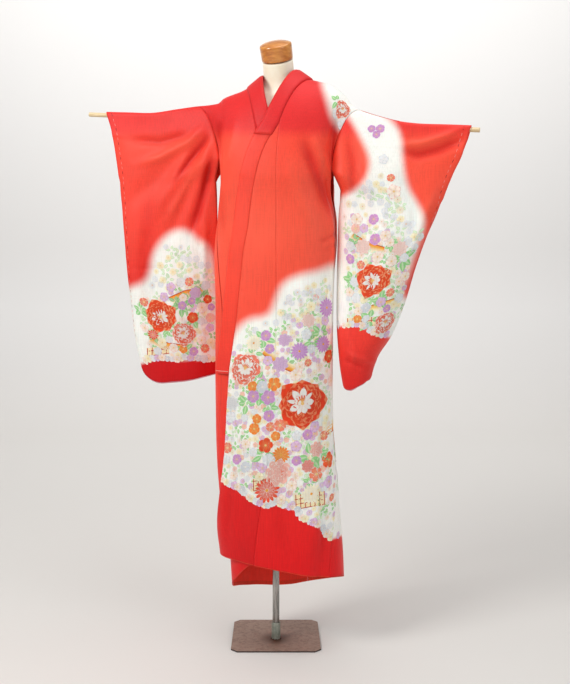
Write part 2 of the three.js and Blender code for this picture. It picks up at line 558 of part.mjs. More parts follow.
// ---------------------------------------------------------------- sleeves
// Sections of a hanging sleeve: fraction of its length down from the top fold, the inner and
// outer edge in plan, how far the middle bulges to the front, and how square that bulge is.
const SLEEVES = {
  left: {
    side: 1,
    crest: table(['p', 'x', 'z'], [
      [0, 279, 1720], [0.14, 328, 1701], [0.38, 410, 1676], [0.57, 474, 1665.5], [0.76, 538, 1660], [1, 630, 1652.5],
    ]),
    sections: table(['down', 'inner_x', 'inner_y', 'outer_x', 'outer_y', 'bulge', 'square'], [
      [0, 279, 0, 630, 0, 0, 2], [0.05, 262, 0, 618, 0, 0, 2], [0.07, 255, 0, 612, 0, 1, 2], [0.11, 243, 0, 601, 2, 6, 2.1], [0.18, 236, 1, 571, 5, 16, 2.2],
      [0.25, 231, 2, 545, 9, 26, 2.2], [0.35, 228, 8, 514, 18, 42, 2.4], [0.42, 222, 12, 487, 24, 52, 2.4], [0.67, 212, 30, 416, 38, 72, 2.5],
      [0.81, 210, 38, 371, 42, 78, 2.6], [0.91, 216, 42, 322, 44, 74, 2.6], [1, 228, 44, 302, 46, 66, 2.6],
    ]),
    length: table(['p', 'length'], [[0, 774], [0.1, 822], [0.25, 852], [0.4, 848], [0.6, 822], [0.8, 803], [1, 803]]),
    gap: table(['down', 'gap'], [[0, 22], [0.1, 23], [0.3, 26], [0.7, 22], [1, 14]]),
  },
  right: {
    side: -1,
    crest: table(['p', 'x', 'z'], [
      [0, -283, 1764], [0.2, -352, 1759], [0.48, -448, 1752], [0.75, -530, 1758.5], [1, -612, 1765],
    ]),
    sections: table(['down', 'inner_x', 'inner_y', 'outer_x', 'outer_y', 'bulge', 'square'], [
      [0, -283, 0, -612, 0, 0, 2], [0.04, -264, 0, -599, 0, 0, 2], [0.07, -255, 0, -590, 0, 1, 2], [0.157, -234, 6, -576, 0, 5, 2],
      [0.24, -216, 10, -564, 0, 6, 2], [0.345, -214, 22, -556, -2, 8, 2], [0.45, -218, 34, -545, -3, 11, 2], [0.6, -221, 56, -531, -4, 16, 2],
      [0.685, -220, 68, -519, -5, 20, 2.1], [0.776, -216, 82, -508, -6, 24, 2.1], [0.855, -212, 96, -495, -6, 28, 2.2],
      [0.925, -208, 108, -480, -5, 30, 2.2], [1, -206, 116, -466, -4, 32, 2.2],
    ]),
    length: table(['p', 'length'], [[0, 893], [0.4, 909], [0.8, 930], [1, 940]]),
    gap: table(['down', 'gap'], [[0, 22], [0.1, 23], [0.3, 26], [0.7, 22], [1, 14]]),
  },
};
// Soft folds of the sleeves: p and down of the middle, half width across, half length, depth to
// the front, angle from straight down (degrees, positive towards the cuff).
const SLEEVE_FOLDS = {
  left: [
    // p, down, half_width, half_length, depth, angle
    [0.10, 0.20, 24, 150, 9, 10],
    [0.24, 0.26, 26, 190, -8, 16],
    [0.55, 0.34, 34, 230, 6, 24],
    [0.80, 0.55, 28, 260, -5, 10],
    [0.35, 0.75, 34, 220, 5, 4],
  ],
  right: [
    [0.10, 0.20, 22, 150, 9, 8],
    [0.24, 0.24, 24, 170, -10, 24],
    [0.40, 0.26, 28, 190, 8, 38],
    [0.58, 0.24, 32, 200, -7, 52],
    [0.30, 0.66, 34, 240, 6, 6],
    [0.70, 0.72, 36, 240, -6, -6],
  ],
};
function sleeveFold(name, p, drop) {
  let d = 0;
  for (const [fp, fd, w, l, depth, angle] of SLEEVE_FOLDS[name]) {
    const u = (p - fp) * SLEEVE_WIDTH, v = drop - fd * SLEEVE_LENGTH, a = (angle * Math.PI) / 180;
    const across = u * Math.cos(a) - v * Math.sin(a), along = u * Math.sin(a) + v * Math.cos(a);
    d += depth * Math.exp(-((across / w) ** 2) - (along / l) ** 2);
  }
  return d * smooth(70, 170, drop);
}
// The sleeve's middle line in plan at a section, as points evenly spaced along it.
const sectionCache = new Map();
function sleeveSection(name, down) {
  const key = name + Math.round(down * 2000);
  if (!sectionCache.has(key)) {
    const s = SLEEVES[name].sections, d = Math.round(down * 2000) / 2000;
    const ix = s(d, 'inner_x'), iy = s(d, 'inner_y'), ox = s(d, 'outer_x'), oy = s(d, 'outer_y');
    const b = s(d, 'bulge'), e = 2 / s(d, 'square');
    const mx = (ix + ox) / 2, my = (iy + oy) / 2, hx = (ox - ix) / 2, hy = (oy - iy) / 2;
    const l = Math.hypot(hx, hy), side = Math.sign(hx);
    // unit normal of the chord, pointing to the front
    const nx = (hy / l) * side, ny = (-hx / l) * side;
    const points = [], lengths = [0];
    for (let i = 0; i <= 80; i++) {
      const t = (i / 80) * Math.PI, c = -power(Math.cos(t), e), q = power(Math.sin(t), e) * b;
      points.push([mx + hx * c + nx * q, my + hy * c + ny * q]);
      if (i) lengths.push(lengths[i - 1] + Math.hypot(points[i][0] - points[i - 1][0], points[i][1] - points[i - 1][1]));
    }
    sectionCache.set(key, { points, lengths, total: lengths[80] });
  }
  return sectionCache.get(key);
}
function along(section, p) {
  const v = clamp(p, 0, 1) * section.total;
  let lo = 0, hi = section.points.length - 1;
  while (hi - lo > 1) { const m = (lo + hi) >> 1; if (section.lengths[m] <= v) lo = m; else hi = m; }
  const t = (v - section.lengths[lo]) / (section.lengths[hi] - section.lengths[lo] || 1);
  return [mix(section.points[lo][0], section.points[hi][0], t), mix(section.points[lo][1], section.points[hi][1], t)];
}
function columnLength(name, p) {
  const x = p * SLEEVE_WIDTH - (SLEEVE_WIDTH - SLEEVE_CORNER);
  const cut = x > 0 ? SLEEVE_CORNER - Math.sqrt(Math.max(SLEEVE_CORNER ** 2 - x * x, 0)) : 0;
  return SLEEVES[name].length(p, 'length') - cut;
}
// Middle surface of the sleeve at p across and drop down from the top fold.
function sleeveMiddle(name, p, drop) {
  const s = SLEEVES[name], full = s.length(p, 'length');
  const [x, y] = along(sleeveSection(name, drop / full), p);
  return V(x, y, s.crest(p, 'z') - drop);
}
function sleeveForward(name, p, drop) {
  const full = SLEEVES[name].length(p, 'length'), sec = sleeveSection(name, drop / full);
  const a = along(sec, p - 0.03), b = along(sec, p + 0.03), side = SLEEVES[name].side;
  const dx = b[0] - a[0], dy = b[1] - a[1], l = Math.hypot(dx, dy) || 1;
  return V((dy / l) * side, (-dx / l) * side, 0);
}
// A point of the front (face f) or back (face b) layer of the sleeve.
function sleeveLayer(name, face, p, drop, total) {
  const s = SLEEVES[name], sign = face === 'f' ? 1 : -1;
  const g = s.gap(drop / SLEEVE_LENGTH, 'gap') / 2, rim = 11;
  const near = Math.min(drop, total - drop);
  const turn = near < rim ? Math.sqrt(Math.max(1 - (1 - near / rim) ** 2, 0)) : 1;
  const edge = mix(1, 0.55, smooth(0.82, 1, p)) * (drop > 60 ? 1 : 1);
  const half = mix(g, Math.min(g, g * (drop < 90 ? 1 : edge)), smooth(60, 140, drop));
  const mid = sleeveMiddle(name, p, drop), n = sleeveForward(name, p, drop);
  const out = mid.addScaledVector(n, sign * half * turn + sleeveFold(name, p, drop) * (face === 'f' ? 1 : 0.55));
  // the sewn edge follows the armhole, and the cloth beside it follows on
  const reach = (1 - clamp(p / 0.62, 0, 1)) ** 2;
  if (reach > 0) {
    const d = Math.min(drop, SEWN), fade = 1 - smooth(SEWN, SEWN + 34, drop);
    const target = panel(s.side, face, 0, edgeDown(s.side, face, d));
    const rimTurn = d < rim ? Math.sqrt(Math.max(1 - (1 - d / rim) ** 2, 0)) : 1;
    const g0 = s.gap(d / SLEEVE_LENGTH, 'gap') / 2;
    const base = sleeveMiddle(name, 0, d).addScaledVector(sleeveForward(name, 0, d), sign * g0 * rimTurn + sleeveFold(name, 0, d) * (face === 'f' ? 1 : 0.55));
    out.addScaledVector(target.sub(base), reach * fade);
  }
  return out;
}
const SLEEVE_COLUMNS = [0, 0.08, 0.18, 0.3, 0.43, 0.56, 0.68, 0.78, 0.87, 0.95, 1];
const SLEEVE_LOW_ROWS = [0.33, 0.45, 0.57, 0.69, 0.8, 0.9, 0.96, 0.988];
const SEAM_STEP = 0.7;      // the sleeve starts this far out from the body's edge
function sleeveGeometry(name) {
  const s = SLEEVES[name], side = s.side, columns = SLEEVE_COLUMNS.length;
  // a ring of points round the bag at each column: down the front, up the back
  const drops = (total) => [...ARM_ROWS, SEWN + 30, ...SLEEVE_LOW_ROWS.map((f) => SEWN + (total - SEWN) * ((f - 0.235) / 0.765))];
  const cuffRow = ARM_ROWS.length - 1; // the cuff opening ends level with the sewn edge's end
  const rings = SLEEVE_COLUMNS.map((p) => {
    const total = columnLength(name, p), list = drops(total), ring = [];
    for (const d of list) ring.push(sleeveLayer(name, 'f', p, d, total));
    ring.push(sleeveLayer(name, 'f', p, total, total));
    for (const d of [...list].reverse()) if (d > 0) ring.push(sleeveLayer(name, 'b', p, d, total));
    return ring;
  });
  const sewn = ARM_ROWS.length; // rows of the inner edge that are sewn to the body
  const m = rings[0].length, rows = drops(100).length; // ring: 0..rows-1 front, rows bottom, then back up
  // outward normals of the ring surface
  const normals = rings.map((ring, i) => ring.map((q, j) => {
    const a = rings[Math.max(i - 1, 0)][j], b = rings[Math.min(i + 1, columns - 1)][j];
    const c = ring[(j + m - 1) % m], d = ring[(j + 1) % m];
    return V().crossVectors(V().subVectors(b, a), V().subVectors(d, c)).normalize();
  }));
  // check the sense at the middle of the front layer
  const probe = normals[5][10], forward = sleeveForward(name, 0.5, 400);
  if (probe.dot(forward) < 0) normals.forEach((r) => r.forEach((n) => n.negate()));
  // along the armhole the wall stands as the body's does, a seam's gap further out
  for (let k = 0; k < sewn; k++) {
    for (const face of ['f', 'b']) {
      const j = face === 'f' ? k : (m - k) % m;
      const down = Math.max(edgeDown(side, face, ARM_ROWS[k]), 0.02);
      const away = panel(side, face, 0, down).sub(panel(side, face, 5, down)).normalize();
      if (k === 0) {
        const n = outward(side, 'f', 0, 0.03).add(outward(side, 'b', 0, 0.03)).normalize();
        normals[0][0].copy(n);
        if (face === 'f') rings[0][0].addScaledVector(away, SEAM_STEP + 1.6);
      } else {
        normals[0][j].copy(outward(side, face, 0, down));
        rings[0][j].addScaledVector(away, SEAM_STEP);
      }
    }
  }
  const position = [], index = [];
  const half = CLOTH / 2, last = columns - 1;
  const outer = (i, j) => i * m + (j % m), inner = (i, j) => columns * m + i * m + (j % m);
  rings.forEach((ring, i) => ring.forEach((q, j) => {
    const n = normals[i][j];
    position.push(q.x + n.x * half, q.y + n.y * half, q.z + n.z * half);
  }));
  rings.forEach((ring, i) => ring.forEach((q, j) => {
    const n = normals[i][j], k = q.clone().addScaledVector(n, -half);
    if (i === last) k.addScaledVector(V().subVectors(rings[last - 1][j], q).normalize(), CLOTH * 1.2);
    position.push(k.x, k.y, k.z);
  }));
  const quads = [];
  for (let i = 0; i < last; i++) for (let j = 0; j < m; j++) {
    quads.push([outer(i, j), outer(i + 1, j), outer(i + 1, j + 1), outer(i, j + 1)]);
    quads.push([inner(i, j), inner(i, j + 1), inner(i + 1, j + 1), inner(i + 1, j)]);
  }
  // the body end is a rim all round
  for (let j = 0; j < m; j++) quads.push([outer(0, j + 1), inner(0, j + 1), inner(0, j), outer(0, j)]);
  // the cuff end: a rim round the opening, closed below it
  const mirror = (j) => (m - j) % m; // the back point level with front point j
  for (let j = 0; j < cuffRow; j++) {
    quads.push([outer(last, j), inner(last, j), inner(last, j + 1), outer(last, j + 1)]);
    quads.push([outer(last, mirror(j + 1)), inner(last, mirror(j + 1)), inner(last, mirror(j)), outer(last, mirror(j))]);
  }
  // lower lip of the cuff, then the closing strip inside and out
  const c0 = cuffRow, c1 = mirror(cuffRow);
  quads.push([outer(last, c0), inner(last, c0), inner(last, c1), outer(last, c1)]);
  for (let j = cuffRow; j < rows; j++) {
    const a = j, b = j + 1, c = mirror(j + 1), d = mirror(j);
    if (b === c || b % m === c % m) {
      quads.push([outer(last, a), outer(last, d), outer(last, b)]);
      quads.push([inner(last, a), inner(last, b), inner(last, d)]);
    } else {
      quads.push([outer(last, a), outer(last, d), outer(last, c), outer(last, b)]);
      quads.push([inner(last, a), inner(last, b), inner(last, c), inner(last, d)]);
    }
  }
  for (const q of quads) {
    index.push(q[0], q[1], q[2]);
    if (q.length === 4) index.push(q[0], q[2], q[3]);
  }
  const g = new THREE.BufferGeometry();
  g.setAttribute('position', new THREE.Float32BufferAttribute(position, 3));
  g.setIndex(index);
  return orient(g);
}
// Turns a closed surface so that it encloses a positive volume.
function orient(g) {
  const p = g.attributes.position, ix = g.index.array;
  let v = 0;
  const a = V(), b = V(), c = V();
  for (let i = 0; i < ix.length; i += 3) {
    a.fromBufferAttribute(p, ix[i]); b.fromBufferAttribute(p, ix[i + 1]); c.fromBufferAttribute(p, ix[i + 2]);
    v += a.dot(b.cross(c));
  }
  if (v < 0) for (let i = 0; i < ix.length; i += 3) { const t = ix[i + 1]; ix[i + 1] = ix[i + 2]; ix[i + 2] = t; }
  g.computeVertexNormals();
  return g;
}

// ---------------------------------------------------------------- the stand
const PLATE = { size: 287, thick: 5, cut: 20, turn: 17, behind: 35 }; // its middle is behind the pole
const SOCKET = { radius: 14.5, height: 55 };
const POLE = { radius: 11, top: 1160 };
const ROD = { radius: 7.5, left: V(655, 0, 1637), right: V(-680, 0, 1760), hole: 8.6 };
const NECK_BLOCK = { bottom: V(0, 17, 1906.5), lean: 28, height: 54 };

function formSolid() {
  const position = [], index = [];
  FORM_RINGS.forEach((z) => {
    const a = FORM(z, 'half_width'), b = FORM(z, 'half_depth'), y = FORM(z, 'centre_y'), lean = (FORM(z, 'lean') * Math.PI) / 180;
    for (let i = 0; i < FORM_SIDES; i++) {
      const t = (i / FORM_SIDES) * 2 * Math.PI, e = 2 / mix(2.25, 2, smooth(1780, 1830, z));
      const u = a * power(Math.cos(t), e), v = b * power(Math.sin(t), e);
      position.push(u, y + v * Math.cos(lean), z + v * Math.sin(lean));
    }
  });
  const rings = FORM_RINGS.length, n = FORM_SIDES;
  for (let j = 0; j + 1 < rings; j++) for (let i = 0; i < n; i++) {
    const a = j * n + i, b = j * n + ((i + 1) % n), c = a + n, d = b + n;
    index.push(a, b, d, a, d, c);
  }
  const low = position.length / 3;
  position.push(0, FORM(FORM_RINGS[0], 'centre_y'), FORM_RINGS[0]);
  const top = FORM_RINGS[rings - 1];
  position.push(0, FORM(top, 'centre_y'), top);
  for (let i = 0; i < n; i++) {
    index.push(low, (i + 1) % n, i);
    index.push(low + 1, (rings - 1) * n + i, (rings - 1) * n + ((i + 1) % n));
  }
  return solidFrom(position, index);
}
function solidFrom(position, index) {
  return new wasm.Manifold(new wasm.Mesh({ numProp: 3, vertProperties: new Float32Array(position), triVerts: new Uint32Array(index) }));
}
function geometryFrom(solid) {
  const m = solid.getMesh(), position = [];
  for (let i = 0; i < m.numVert; i++) position.push(m.vertProperties[i * m.numProp], m.vertProperties[i * m.numProp + 1], m.vertProperties[i * m.numProp + 2]);
  const g = new THREE.BufferGeometry();
  g.setAttribute('position', new THREE.Float32BufferAttribute(position, 3));
  g.setIndex([...m.triVerts]);
  g.computeVertexNormals();
  return g;
}
// A round bar between two points as a manifold solid.
function bar(from, to, radius, sides = 24) {
  const d = V().subVectors(to, from), l = d.length(), q = new THREE.Quaternion().setFromUnitVectors(V(0, 0, 1), d.normalize());
  const m = new THREE.Matrix4().compose(from, q, V(1, 1, 1)).toArray();
  return wasm.Manifold.cylinder(l, radius, radius, sides).transform(m);
}
function formGeometry() {
  const rodDirection = V().subVectors(ROD.left, ROD.right).normalize();
  const hole = bar(ROD.right.clone().addScaledVector(rodDirection, 300), ROD.left.clone().addScaledVector(rodDirection, -300), ROD.hole);
  const seat = bar(V(0, 0, 1050), V(0, 0, POLE.top + 1), POLE.radius + SEAM * 1.5, 32);
  return geometryFrom(formSolid().subtract(hole).subtract(seat));
}

// ---------------------------------------------------------------- materials
const finish = (color, roughness, metalness = 0) => new THREE.MeshStandardMaterial({ color, roughness, metalness, side: THREE.DoubleSide });
const SILK = finish(0xe23a30, 0.42);
const SILK_DEEP = finish(0xc92623, 0.42);
const LINEN = finish(0xf0e4c8, 0.85);
const WOOD = finish(0xc88232, 0.3);
const PALE_WOOD = finish(0xd8bf98, 0.6);
const STEEL = finish(0x9a9a94, 0.35, 0.9);
const DARK_STEEL = finish(0x8a726a, 0.6, 0.7);

// ---------------------------------------------------------------- assembly
const part = new THREE.Group();
part.name = 'kimono_on_dress_form';
const add = (name, geometry, material, parent = part) => {
  const mesh = new THREE.Mesh(geometry, material.clone());
  mesh.name = name;
  parent.add(mesh);
  return mesh;
};
const garment = new THREE.Group(), stand = new THREE.Group();
garment.name = 'kimono';
stand.name = 'stand';
part.add(garment, stand);

add('body_left', bodyGeometry(1), SILK, garment);
add('body_right', bodyGeometry(-1), SILK, garment);
add('okumi_left', okumiGeometry(1), SILK, garment);
add('okumi_right', okumiGeometry(-1), SILK_DEEP, garment);
const bands = collarGeometries();
add('collar', bands.collar, SILK, garment);
add('over_collar', bands.cover, SILK, garment);
add('sleeve_left', sleeveGeometry('left'), SILK, garment);
add('sleeve_right', sleeveGeometry('right'), SILK, garment);

add('dress_form', formGeometry(), LINEN, stand);
const block = add('neck_block', new THREE.LatheGeometry([
  new THREE.Vector2(0, 0), new THREE.Vector2(49.5, 0), new THREE.Vector2(50, 1), new THREE.Vector2(51, NECK_BLOCK.height - 7),
  new THREE.Vector2(49.5, NECK_BLOCK.height - 2.5), new THREE.Vector2(45, NECK_BLOCK.height), new THREE.Vector2(24, NECK_BLOCK.height + 2.6),
  new THREE.Vector2(0, NECK_BLOCK.height + 3.6),
], 40).rotateX(Math.PI / 2), WOOD, stand);
block.position.copy(NECK_BLOCK.bottom);
block.rotation.x = (NECK_BLOCK.lean * Math.PI) / 180;
add('sleeve_rod', geometryFrom(bar(ROD.right, ROD.left, ROD.radius, 20)), PALE_WOOD, stand);
const pole = add('pole', new THREE.CylinderGeometry(POLE.radius, POLE.radius, POLE.top - PLATE.thick - SEAM, 32).rotateX(Math.PI / 2), STEEL, stand);
pole.position.z = (POLE.top + PLATE.thick + SEAM) / 2;
const ring = new THREE.Shape().absarc(0, 0, SOCKET.radius, 0, 2 * Math.PI);
ring.holes.push(new THREE.Path().absarc(0, 0, POLE.radius + SEAM, 0, 2 * Math.PI, true));
const socket = add('socket', new THREE.ExtrudeGeometry(ring, { depth: SOCKET.height, bevelEnabled: false, curveSegments: 24 }), STEEL, stand);
socket.position.z = PLATE.thick + SEAM;
const corner = PLATE.size / 2, cut = corner - PLATE.cut;
const outline = new THREE.Shape([[corner, -cut], [corner, cut], [cut, corner], [-cut, corner], [-corner, cut], [-corner, -cut], [-cut, -corner], [cut, -corner]]
  .map(([x, y]) => new THREE.Vector2(x, y)));
const plate = add('base_plate', new THREE.ExtrudeGeometry(outline, { depth: PLATE.thick, bevelEnabled: false }), DARK_STEEL, stand);
plate.rotation.z = (PLATE.turn * Math.PI) / 180;
plate.position.set(-Math.sin(plate.rotation.z) * PLATE.behind, Math.cos(plate.rotation.z) * PLATE.behind, 0);

export default part;
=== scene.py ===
"""A long-sleeved silk kimono on a limbless dress form with a sleeve rod and a steel stand.

The cloth is laid on the same measured surface as the solids of the frame: each panel is a grid in its
own flat measure, given soft creases, dyed by tables of cloud edges, given painted shade in the crease troughs
and painted highlight on their ridges, and covered with a pattern that is drawn flat, motif by motif, and laid on the
cloth.
"""
import math

import bpy
import numpy as np
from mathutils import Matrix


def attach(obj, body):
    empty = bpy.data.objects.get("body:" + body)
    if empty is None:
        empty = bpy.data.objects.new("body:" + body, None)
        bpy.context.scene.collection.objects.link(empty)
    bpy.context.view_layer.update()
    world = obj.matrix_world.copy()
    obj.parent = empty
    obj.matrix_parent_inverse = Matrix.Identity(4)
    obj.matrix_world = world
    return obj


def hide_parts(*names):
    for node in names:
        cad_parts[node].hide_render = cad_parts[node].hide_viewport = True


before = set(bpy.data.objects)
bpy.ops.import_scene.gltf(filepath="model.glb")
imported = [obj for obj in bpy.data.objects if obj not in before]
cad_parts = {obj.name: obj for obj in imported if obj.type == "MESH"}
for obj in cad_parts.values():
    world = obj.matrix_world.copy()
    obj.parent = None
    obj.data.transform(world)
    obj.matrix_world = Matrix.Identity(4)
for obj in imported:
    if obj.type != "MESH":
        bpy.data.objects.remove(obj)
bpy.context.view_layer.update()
MM = 0.001


# ---------------------------------------------------------------- tables (mm)
def table(columns, rows):
    """Smooth reading between rows: at(key, column), the same curve as the CAD's."""
    a = np.array(rows, float)
    if a[-1, 0] < a[0, 0]:
        a = a[::-1]
    k, v = a[:, 0], a[:, 1:]
    d = (v[1:] - v[:-1]) / (k[1:] - k[:-1])[:, None]
    m = np.zeros_like(v)
    m[0], m[-1] = d[0], d[-1]
    for i in range(1, len(k) - 1):
        p = d[i - 1] * d[i]
        with np.errstate(all="ignore"):
            m[i] = np.where(p > 0, 2 * p / (d[i - 1] + d[i]), 0)
    names = {c: i for i, c in enumerate(columns[1:])}

    def at(key, column):
        c = names[column]
        x = np.asarray(key, float)
        i = np.clip(np.searchsorted(k, x, side="left") - 1, 0, len(k) - 2)
        h = k[i + 1] - k[i]
        t = (x - k[i]) / h
        t2, t3 = t * t, t * t * t
        y = ((2 * t3 - 3 * t2 + 1) * v[i, c] + (t3 - 2 * t2 + t) * h * m[i, c]
             + (-2 * t3 + 3 * t2) * v[i + 1, c] + (t3 - t2) * h * m[i + 1, c])
        y = np.where(x <= k[0], v[0, c] + m[0, c] * (x - k[0]), y)
        y = np.where(x >= k[-1], v[-1, c] + m[-1, c] * (x - k[-1]), y)
        return float(y) if y.ndim == 0 else y
    return at


SEAM, LAYER = 0.3, 9.0
BACK_WIDTH, FRONT_WIDTH, NECK_CUT = 300.0, 245.0, 190.0
CHEST_Z = 1500.0
SLEEVE_WIDTH, SLEEVE_LENGTH, SLEEVE_CORNER, SEWN = 345.0, 945.0, 80.0, 220.0
RIB = 330.0                    # flat length given to the ribs above the chest

TUBE = table(["z", "right_x", "left_x", "front_y", "back_y"], [
  [100, -139, 226, -121, 128],
  [270, -150, 222, -121, 126],
  [460, -186, 209, -119, 122],
  [575, -200, 200, -118, 120],
  [715, -207, 188, -118, 119],
  [900, -209, 186, -118, 119],
  [1040, -208, 186, -119, 121],
  [1190, -203, 190, -121, 122],
  [1300, -198, 197, -122, 120],
  [1400, -194, 194, -123, 118],
  [1450, -190, 189, -125, 118],
  [1500, -184, 196, -128, 119],
])
SEAMS = table(["z", "side_left", "side_right", "centre_back", "gap_f", "gap_b"], [
  [100, 336, -262, 34, 0, 0],
  [270, 328, -270, 30, 0, 0],
  [575, 265, -330, -30, 0, 0],
  [800, 236, -360, -60, 0, 0],
  [1040, 218, -372, -70, 0, 0],
  [1200, 222, -345, -48, 0, 0],
  [1360, 236, -290, -20, 0, 0],
  [1420, 240, -266, -8, 10, 24],
  [1500, 246, -250, 0, 38, 56],
])
OKUMI_SEAM = table(["z", "left_x", "right_x"], [
  [100, -40, 20], [286, -33, 20], [487, -7, 48], [644, 13, 66], [800, 24, 82], [885, 31, 88], [970, 36, 92],
  [1115, 39, 88], [1331, 39, 30], [1500, 40, -30],
])
OKUMI = table(["z", "width"], [
  [100, 152], [500, 152], [877, 152], [966, 143], [1040, 133], [1114, 125], [1190, 116],
  [1270, 107], [1340, 92], [1430, 80], [1520, 62], [1600, 38], [1650, 13], [1678, 2], [1730, 1.6],
])
HEM_LEFT = table(["from_back", "z"], [
  [0, 163], [60, 178], [121, 197], [180, 216], [231, 235], [300, 243], [370, 253], [430, 262], [500, 270], [570, 276],
  [640, 281], [700, 283],
])
HEM_RIGHT = table(["from_back", "z"], [
  [0, 163], [64, 147], [124, 141], [204, 148], [250, 157], [300, 168], [380, 212], [470, 274], [545, 296], [700, 306],
])
CREST = table(["x", "y", "z"], [
  [-283, 0, 1764], [-245, 1, 1765], [-205, 4, 1769], [-184, 6, 1785], [-150, 10, 1797], [-124, 13, 1805],
  [-105, 14, 1813], [-60, 6, 1832], [6, 0, 1846], [70, 6, 1842], [121, 14, 1828], [145, 12, 1821],
  [172, 8, 1812], [198, 4, 1797], [231, 1, 1768], [258, 0, 1734], [279, 0, 1720],
])
FORM = table(["z", "half_width", "half_depth", "centre_y", "lean"], [
  [1100, 158, 100, 4, 0], [1108, 163, 104, 4, 0], [1200, 165, 108, 4, 0], [1300, 144, 96, 4, 0],
  [1400, 128, 88, 3, 0], [1500, 154, 102, 0, 0], [1600, 160, 94, 3, 0], [1700, 164, 74, 5, 0],
  [1735, 162, 60, 6, 0], [1756, 154, 52, 7, 0], [1771, 140, 45, 9, 0], [1784, 116, 40, 11, 0],
  [1797, 90, 38, 19, 4], [1810, 66, 43, 29, 8], [1832, 56, 50, 38, 14], [1860, 51, 49, 33, 22], [1904, 50, 50, 19, 30],
])
COLLAR_FREE = table(["turn", "x", "y", "z"], [
  [-1, -56, 32, 1857], [-0.75, -55, 58, 1860], [-0.5, -44, 82, 1861], [-0.25, -25, 96, 1861], [0, 2, 101, 1861],
  [0.25, 29, 97, 1862], [0.5, 50, 83, 1863], [0.75, 63, 58, 1866], [1, 69, 26, 1867],
])
COLLAR_WIDTH = table(["down", "width"], [[0, 42], [0.3, 40], [0.5, 43], [0.75, 51], [1, 54], [2, 55]])
BODY_FOLDS = [
  [1, "b", 38, 1420, 26, 260, 9, 0.08],
  [1, "b", 95, 1330, 30, 330, -7, 0.06],
  [1, "b", 165, 1180, 40, 420, 6, 0.02],
  [-1, "b", 42, 1410, 26, 260, 9, 0.08],
  [-1, "b", 105, 1300, 32, 340, -7, 0.05],
  [-1, "b", 180, 1150, 40, 420, 6, 0.02],
  [1, "b", 230, 330, 50, 330, 10, 0],
  [-1, "b", 150, 330, 50, 300, 9, 0],
  [-1, "b", 60, 600, 38, 380, -6, 0],
  [1, "f", 70, 420, 40, 340, 4, 0],
  [1, "f", 36, 250, 22, 190, -6, 0],
  [1, "f", 26, 1555, 17, 85, -17, 0.02],
  [1, "f", 70, 1560, 26, 130, 5, 0.1],
  [-1, "f", 24, 1585, 15, 60, -13, 0.02],
  [-1, "f", 62, 1600, 26, 120, 5, 0.1],
]
SLEEVE_FOLDS = {
  "left": [
    [0.10, 0.20, 24, 150, 9, 10],
    [0.24, 0.26, 26, 190, -8, 16],
    [0.55, 0.34, 34, 230, 6, 24],
    [0.80, 0.55, 28, 260, -5, 10],
    [0.35, 0.75, 34, 220, 5, 4],
  ],
  "right": [
    [0.10, 0.20, 22, 150, 9, 8],
    [0.24, 0.24, 24, 170, -10, 24],
    [0.40, 0.26, 28, 190, 8, 38],
    [0.58, 0.24, 32, 200, -7, 52],
    [0.30, 0.66, 34, 240, 6, 6],
    [0.70, 0.72, 36, 240, -6, -6],
  ],
}
SLEEVES = {
  "left": {
    "side": 1,
    "crest": table(["p", "x", "z"], [
      [0, 279, 1720], [0.14, 328, 1701], [0.38, 410, 1676], [0.57, 474, 1665.5], [0.76, 538, 1660], [1, 630, 1652.5],
    ]),
    "sections": table(["down", "inner_x", "inner_y", "outer_x", "outer_y", "bulge", "square"], [
      [0, 279, 0, 630, 0, 0, 2], [0.05, 262, 0, 618, 0, 0, 2], [0.07, 255, 0, 612, 0, 1, 2], [0.11, 243, 0, 601, 2, 6, 2.1], [0.18, 236, 1, 571, 5, 16, 2.2],
      [0.25, 231, 2, 545, 9, 26, 2.2], [0.35, 228, 8, 514, 18, 42, 2.4], [0.42, 222, 12, 487, 24, 52, 2.4], [0.67, 212, 30, 416, 38, 72, 2.5],
      [0.81, 210, 38, 371, 42, 78, 2.6], [0.91, 216, 42, 322, 44, 74, 2.6], [1, 228, 44, 302, 46, 66, 2.6],
    ]),
    "length": table(["p", "length"], [[0, 774], [0.1, 822], [0.25, 852], [0.4, 848], [0.6, 822], [0.8, 803], [1, 803]]),
    "gap": table(["down", "gap"], [[0, 22], [0.1, 23], [0.3, 26], [0.7, 22], [1, 14]]),
  },
  "right": {
    "side": -1,
    "crest": table(["p", "x", "z"], [
      [0, -283, 1764], [0.2, -352, 1759], [0.48, -448, 1752], [0.75, -530, 1758.5], [1, -612, 1765],
    ]),
    "sections": table(["down", "inner_x", "inner_y", "outer_x", "outer_y", "bulge", "square"], [
      [0, -283, 0, -612, 0, 0, 2], [0.04, -264, 0, -599, 0, 0, 2], [0.07, -255, 0, -590, 0, 1, 2], [0.157, -234, 6, -576, 0, 5, 2],
      [0.24, -216, 10, -564, 0, 6, 2], [0.345, -214, 22, -556, -2, 8, 2], [0.45, -218, 34, -545, -3, 11, 2], [0.6, -221, 56, -531, -4, 16, 2],
      [0.685, -220, 68, -519, -5, 20, 2.1], [0.776, -216, 82, -508, -6, 24, 2.1], [0.855, -212, 96, -495, -6, 28, 2.2],
      [0.925, -208, 108, -480, -5, 30, 2.2], [1, -206, 116, -466, -4, 32, 2.2],
    ]),
    "length": table(["p", "length"], [[0, 893], [0.4, 909], [0.8, 930], [1, 940]]),
    "gap": table(["down", "gap"], [[0, 22], [0.1, 23], [0.3, 26], [0.7, 22], [1, 14]]),
  },
}
NECK_SIDE = {"left": 121, "right": -105}
ARMHOLE = {"left": 279, "right": -283}
NECK_BACK = (2, 108, 1802)

FORM_CLEAR = 4.0
ROUNDNESS, OVAL_STEPS = 2.3, 96


def smooth(a, b, v):
    t = np.clip((np.asarray(v, float) - a) / (b - a), 0, 1)
    return t * t * (3 - 2 * t)


def mix(a, b, t):
    return a + (b - a) * t


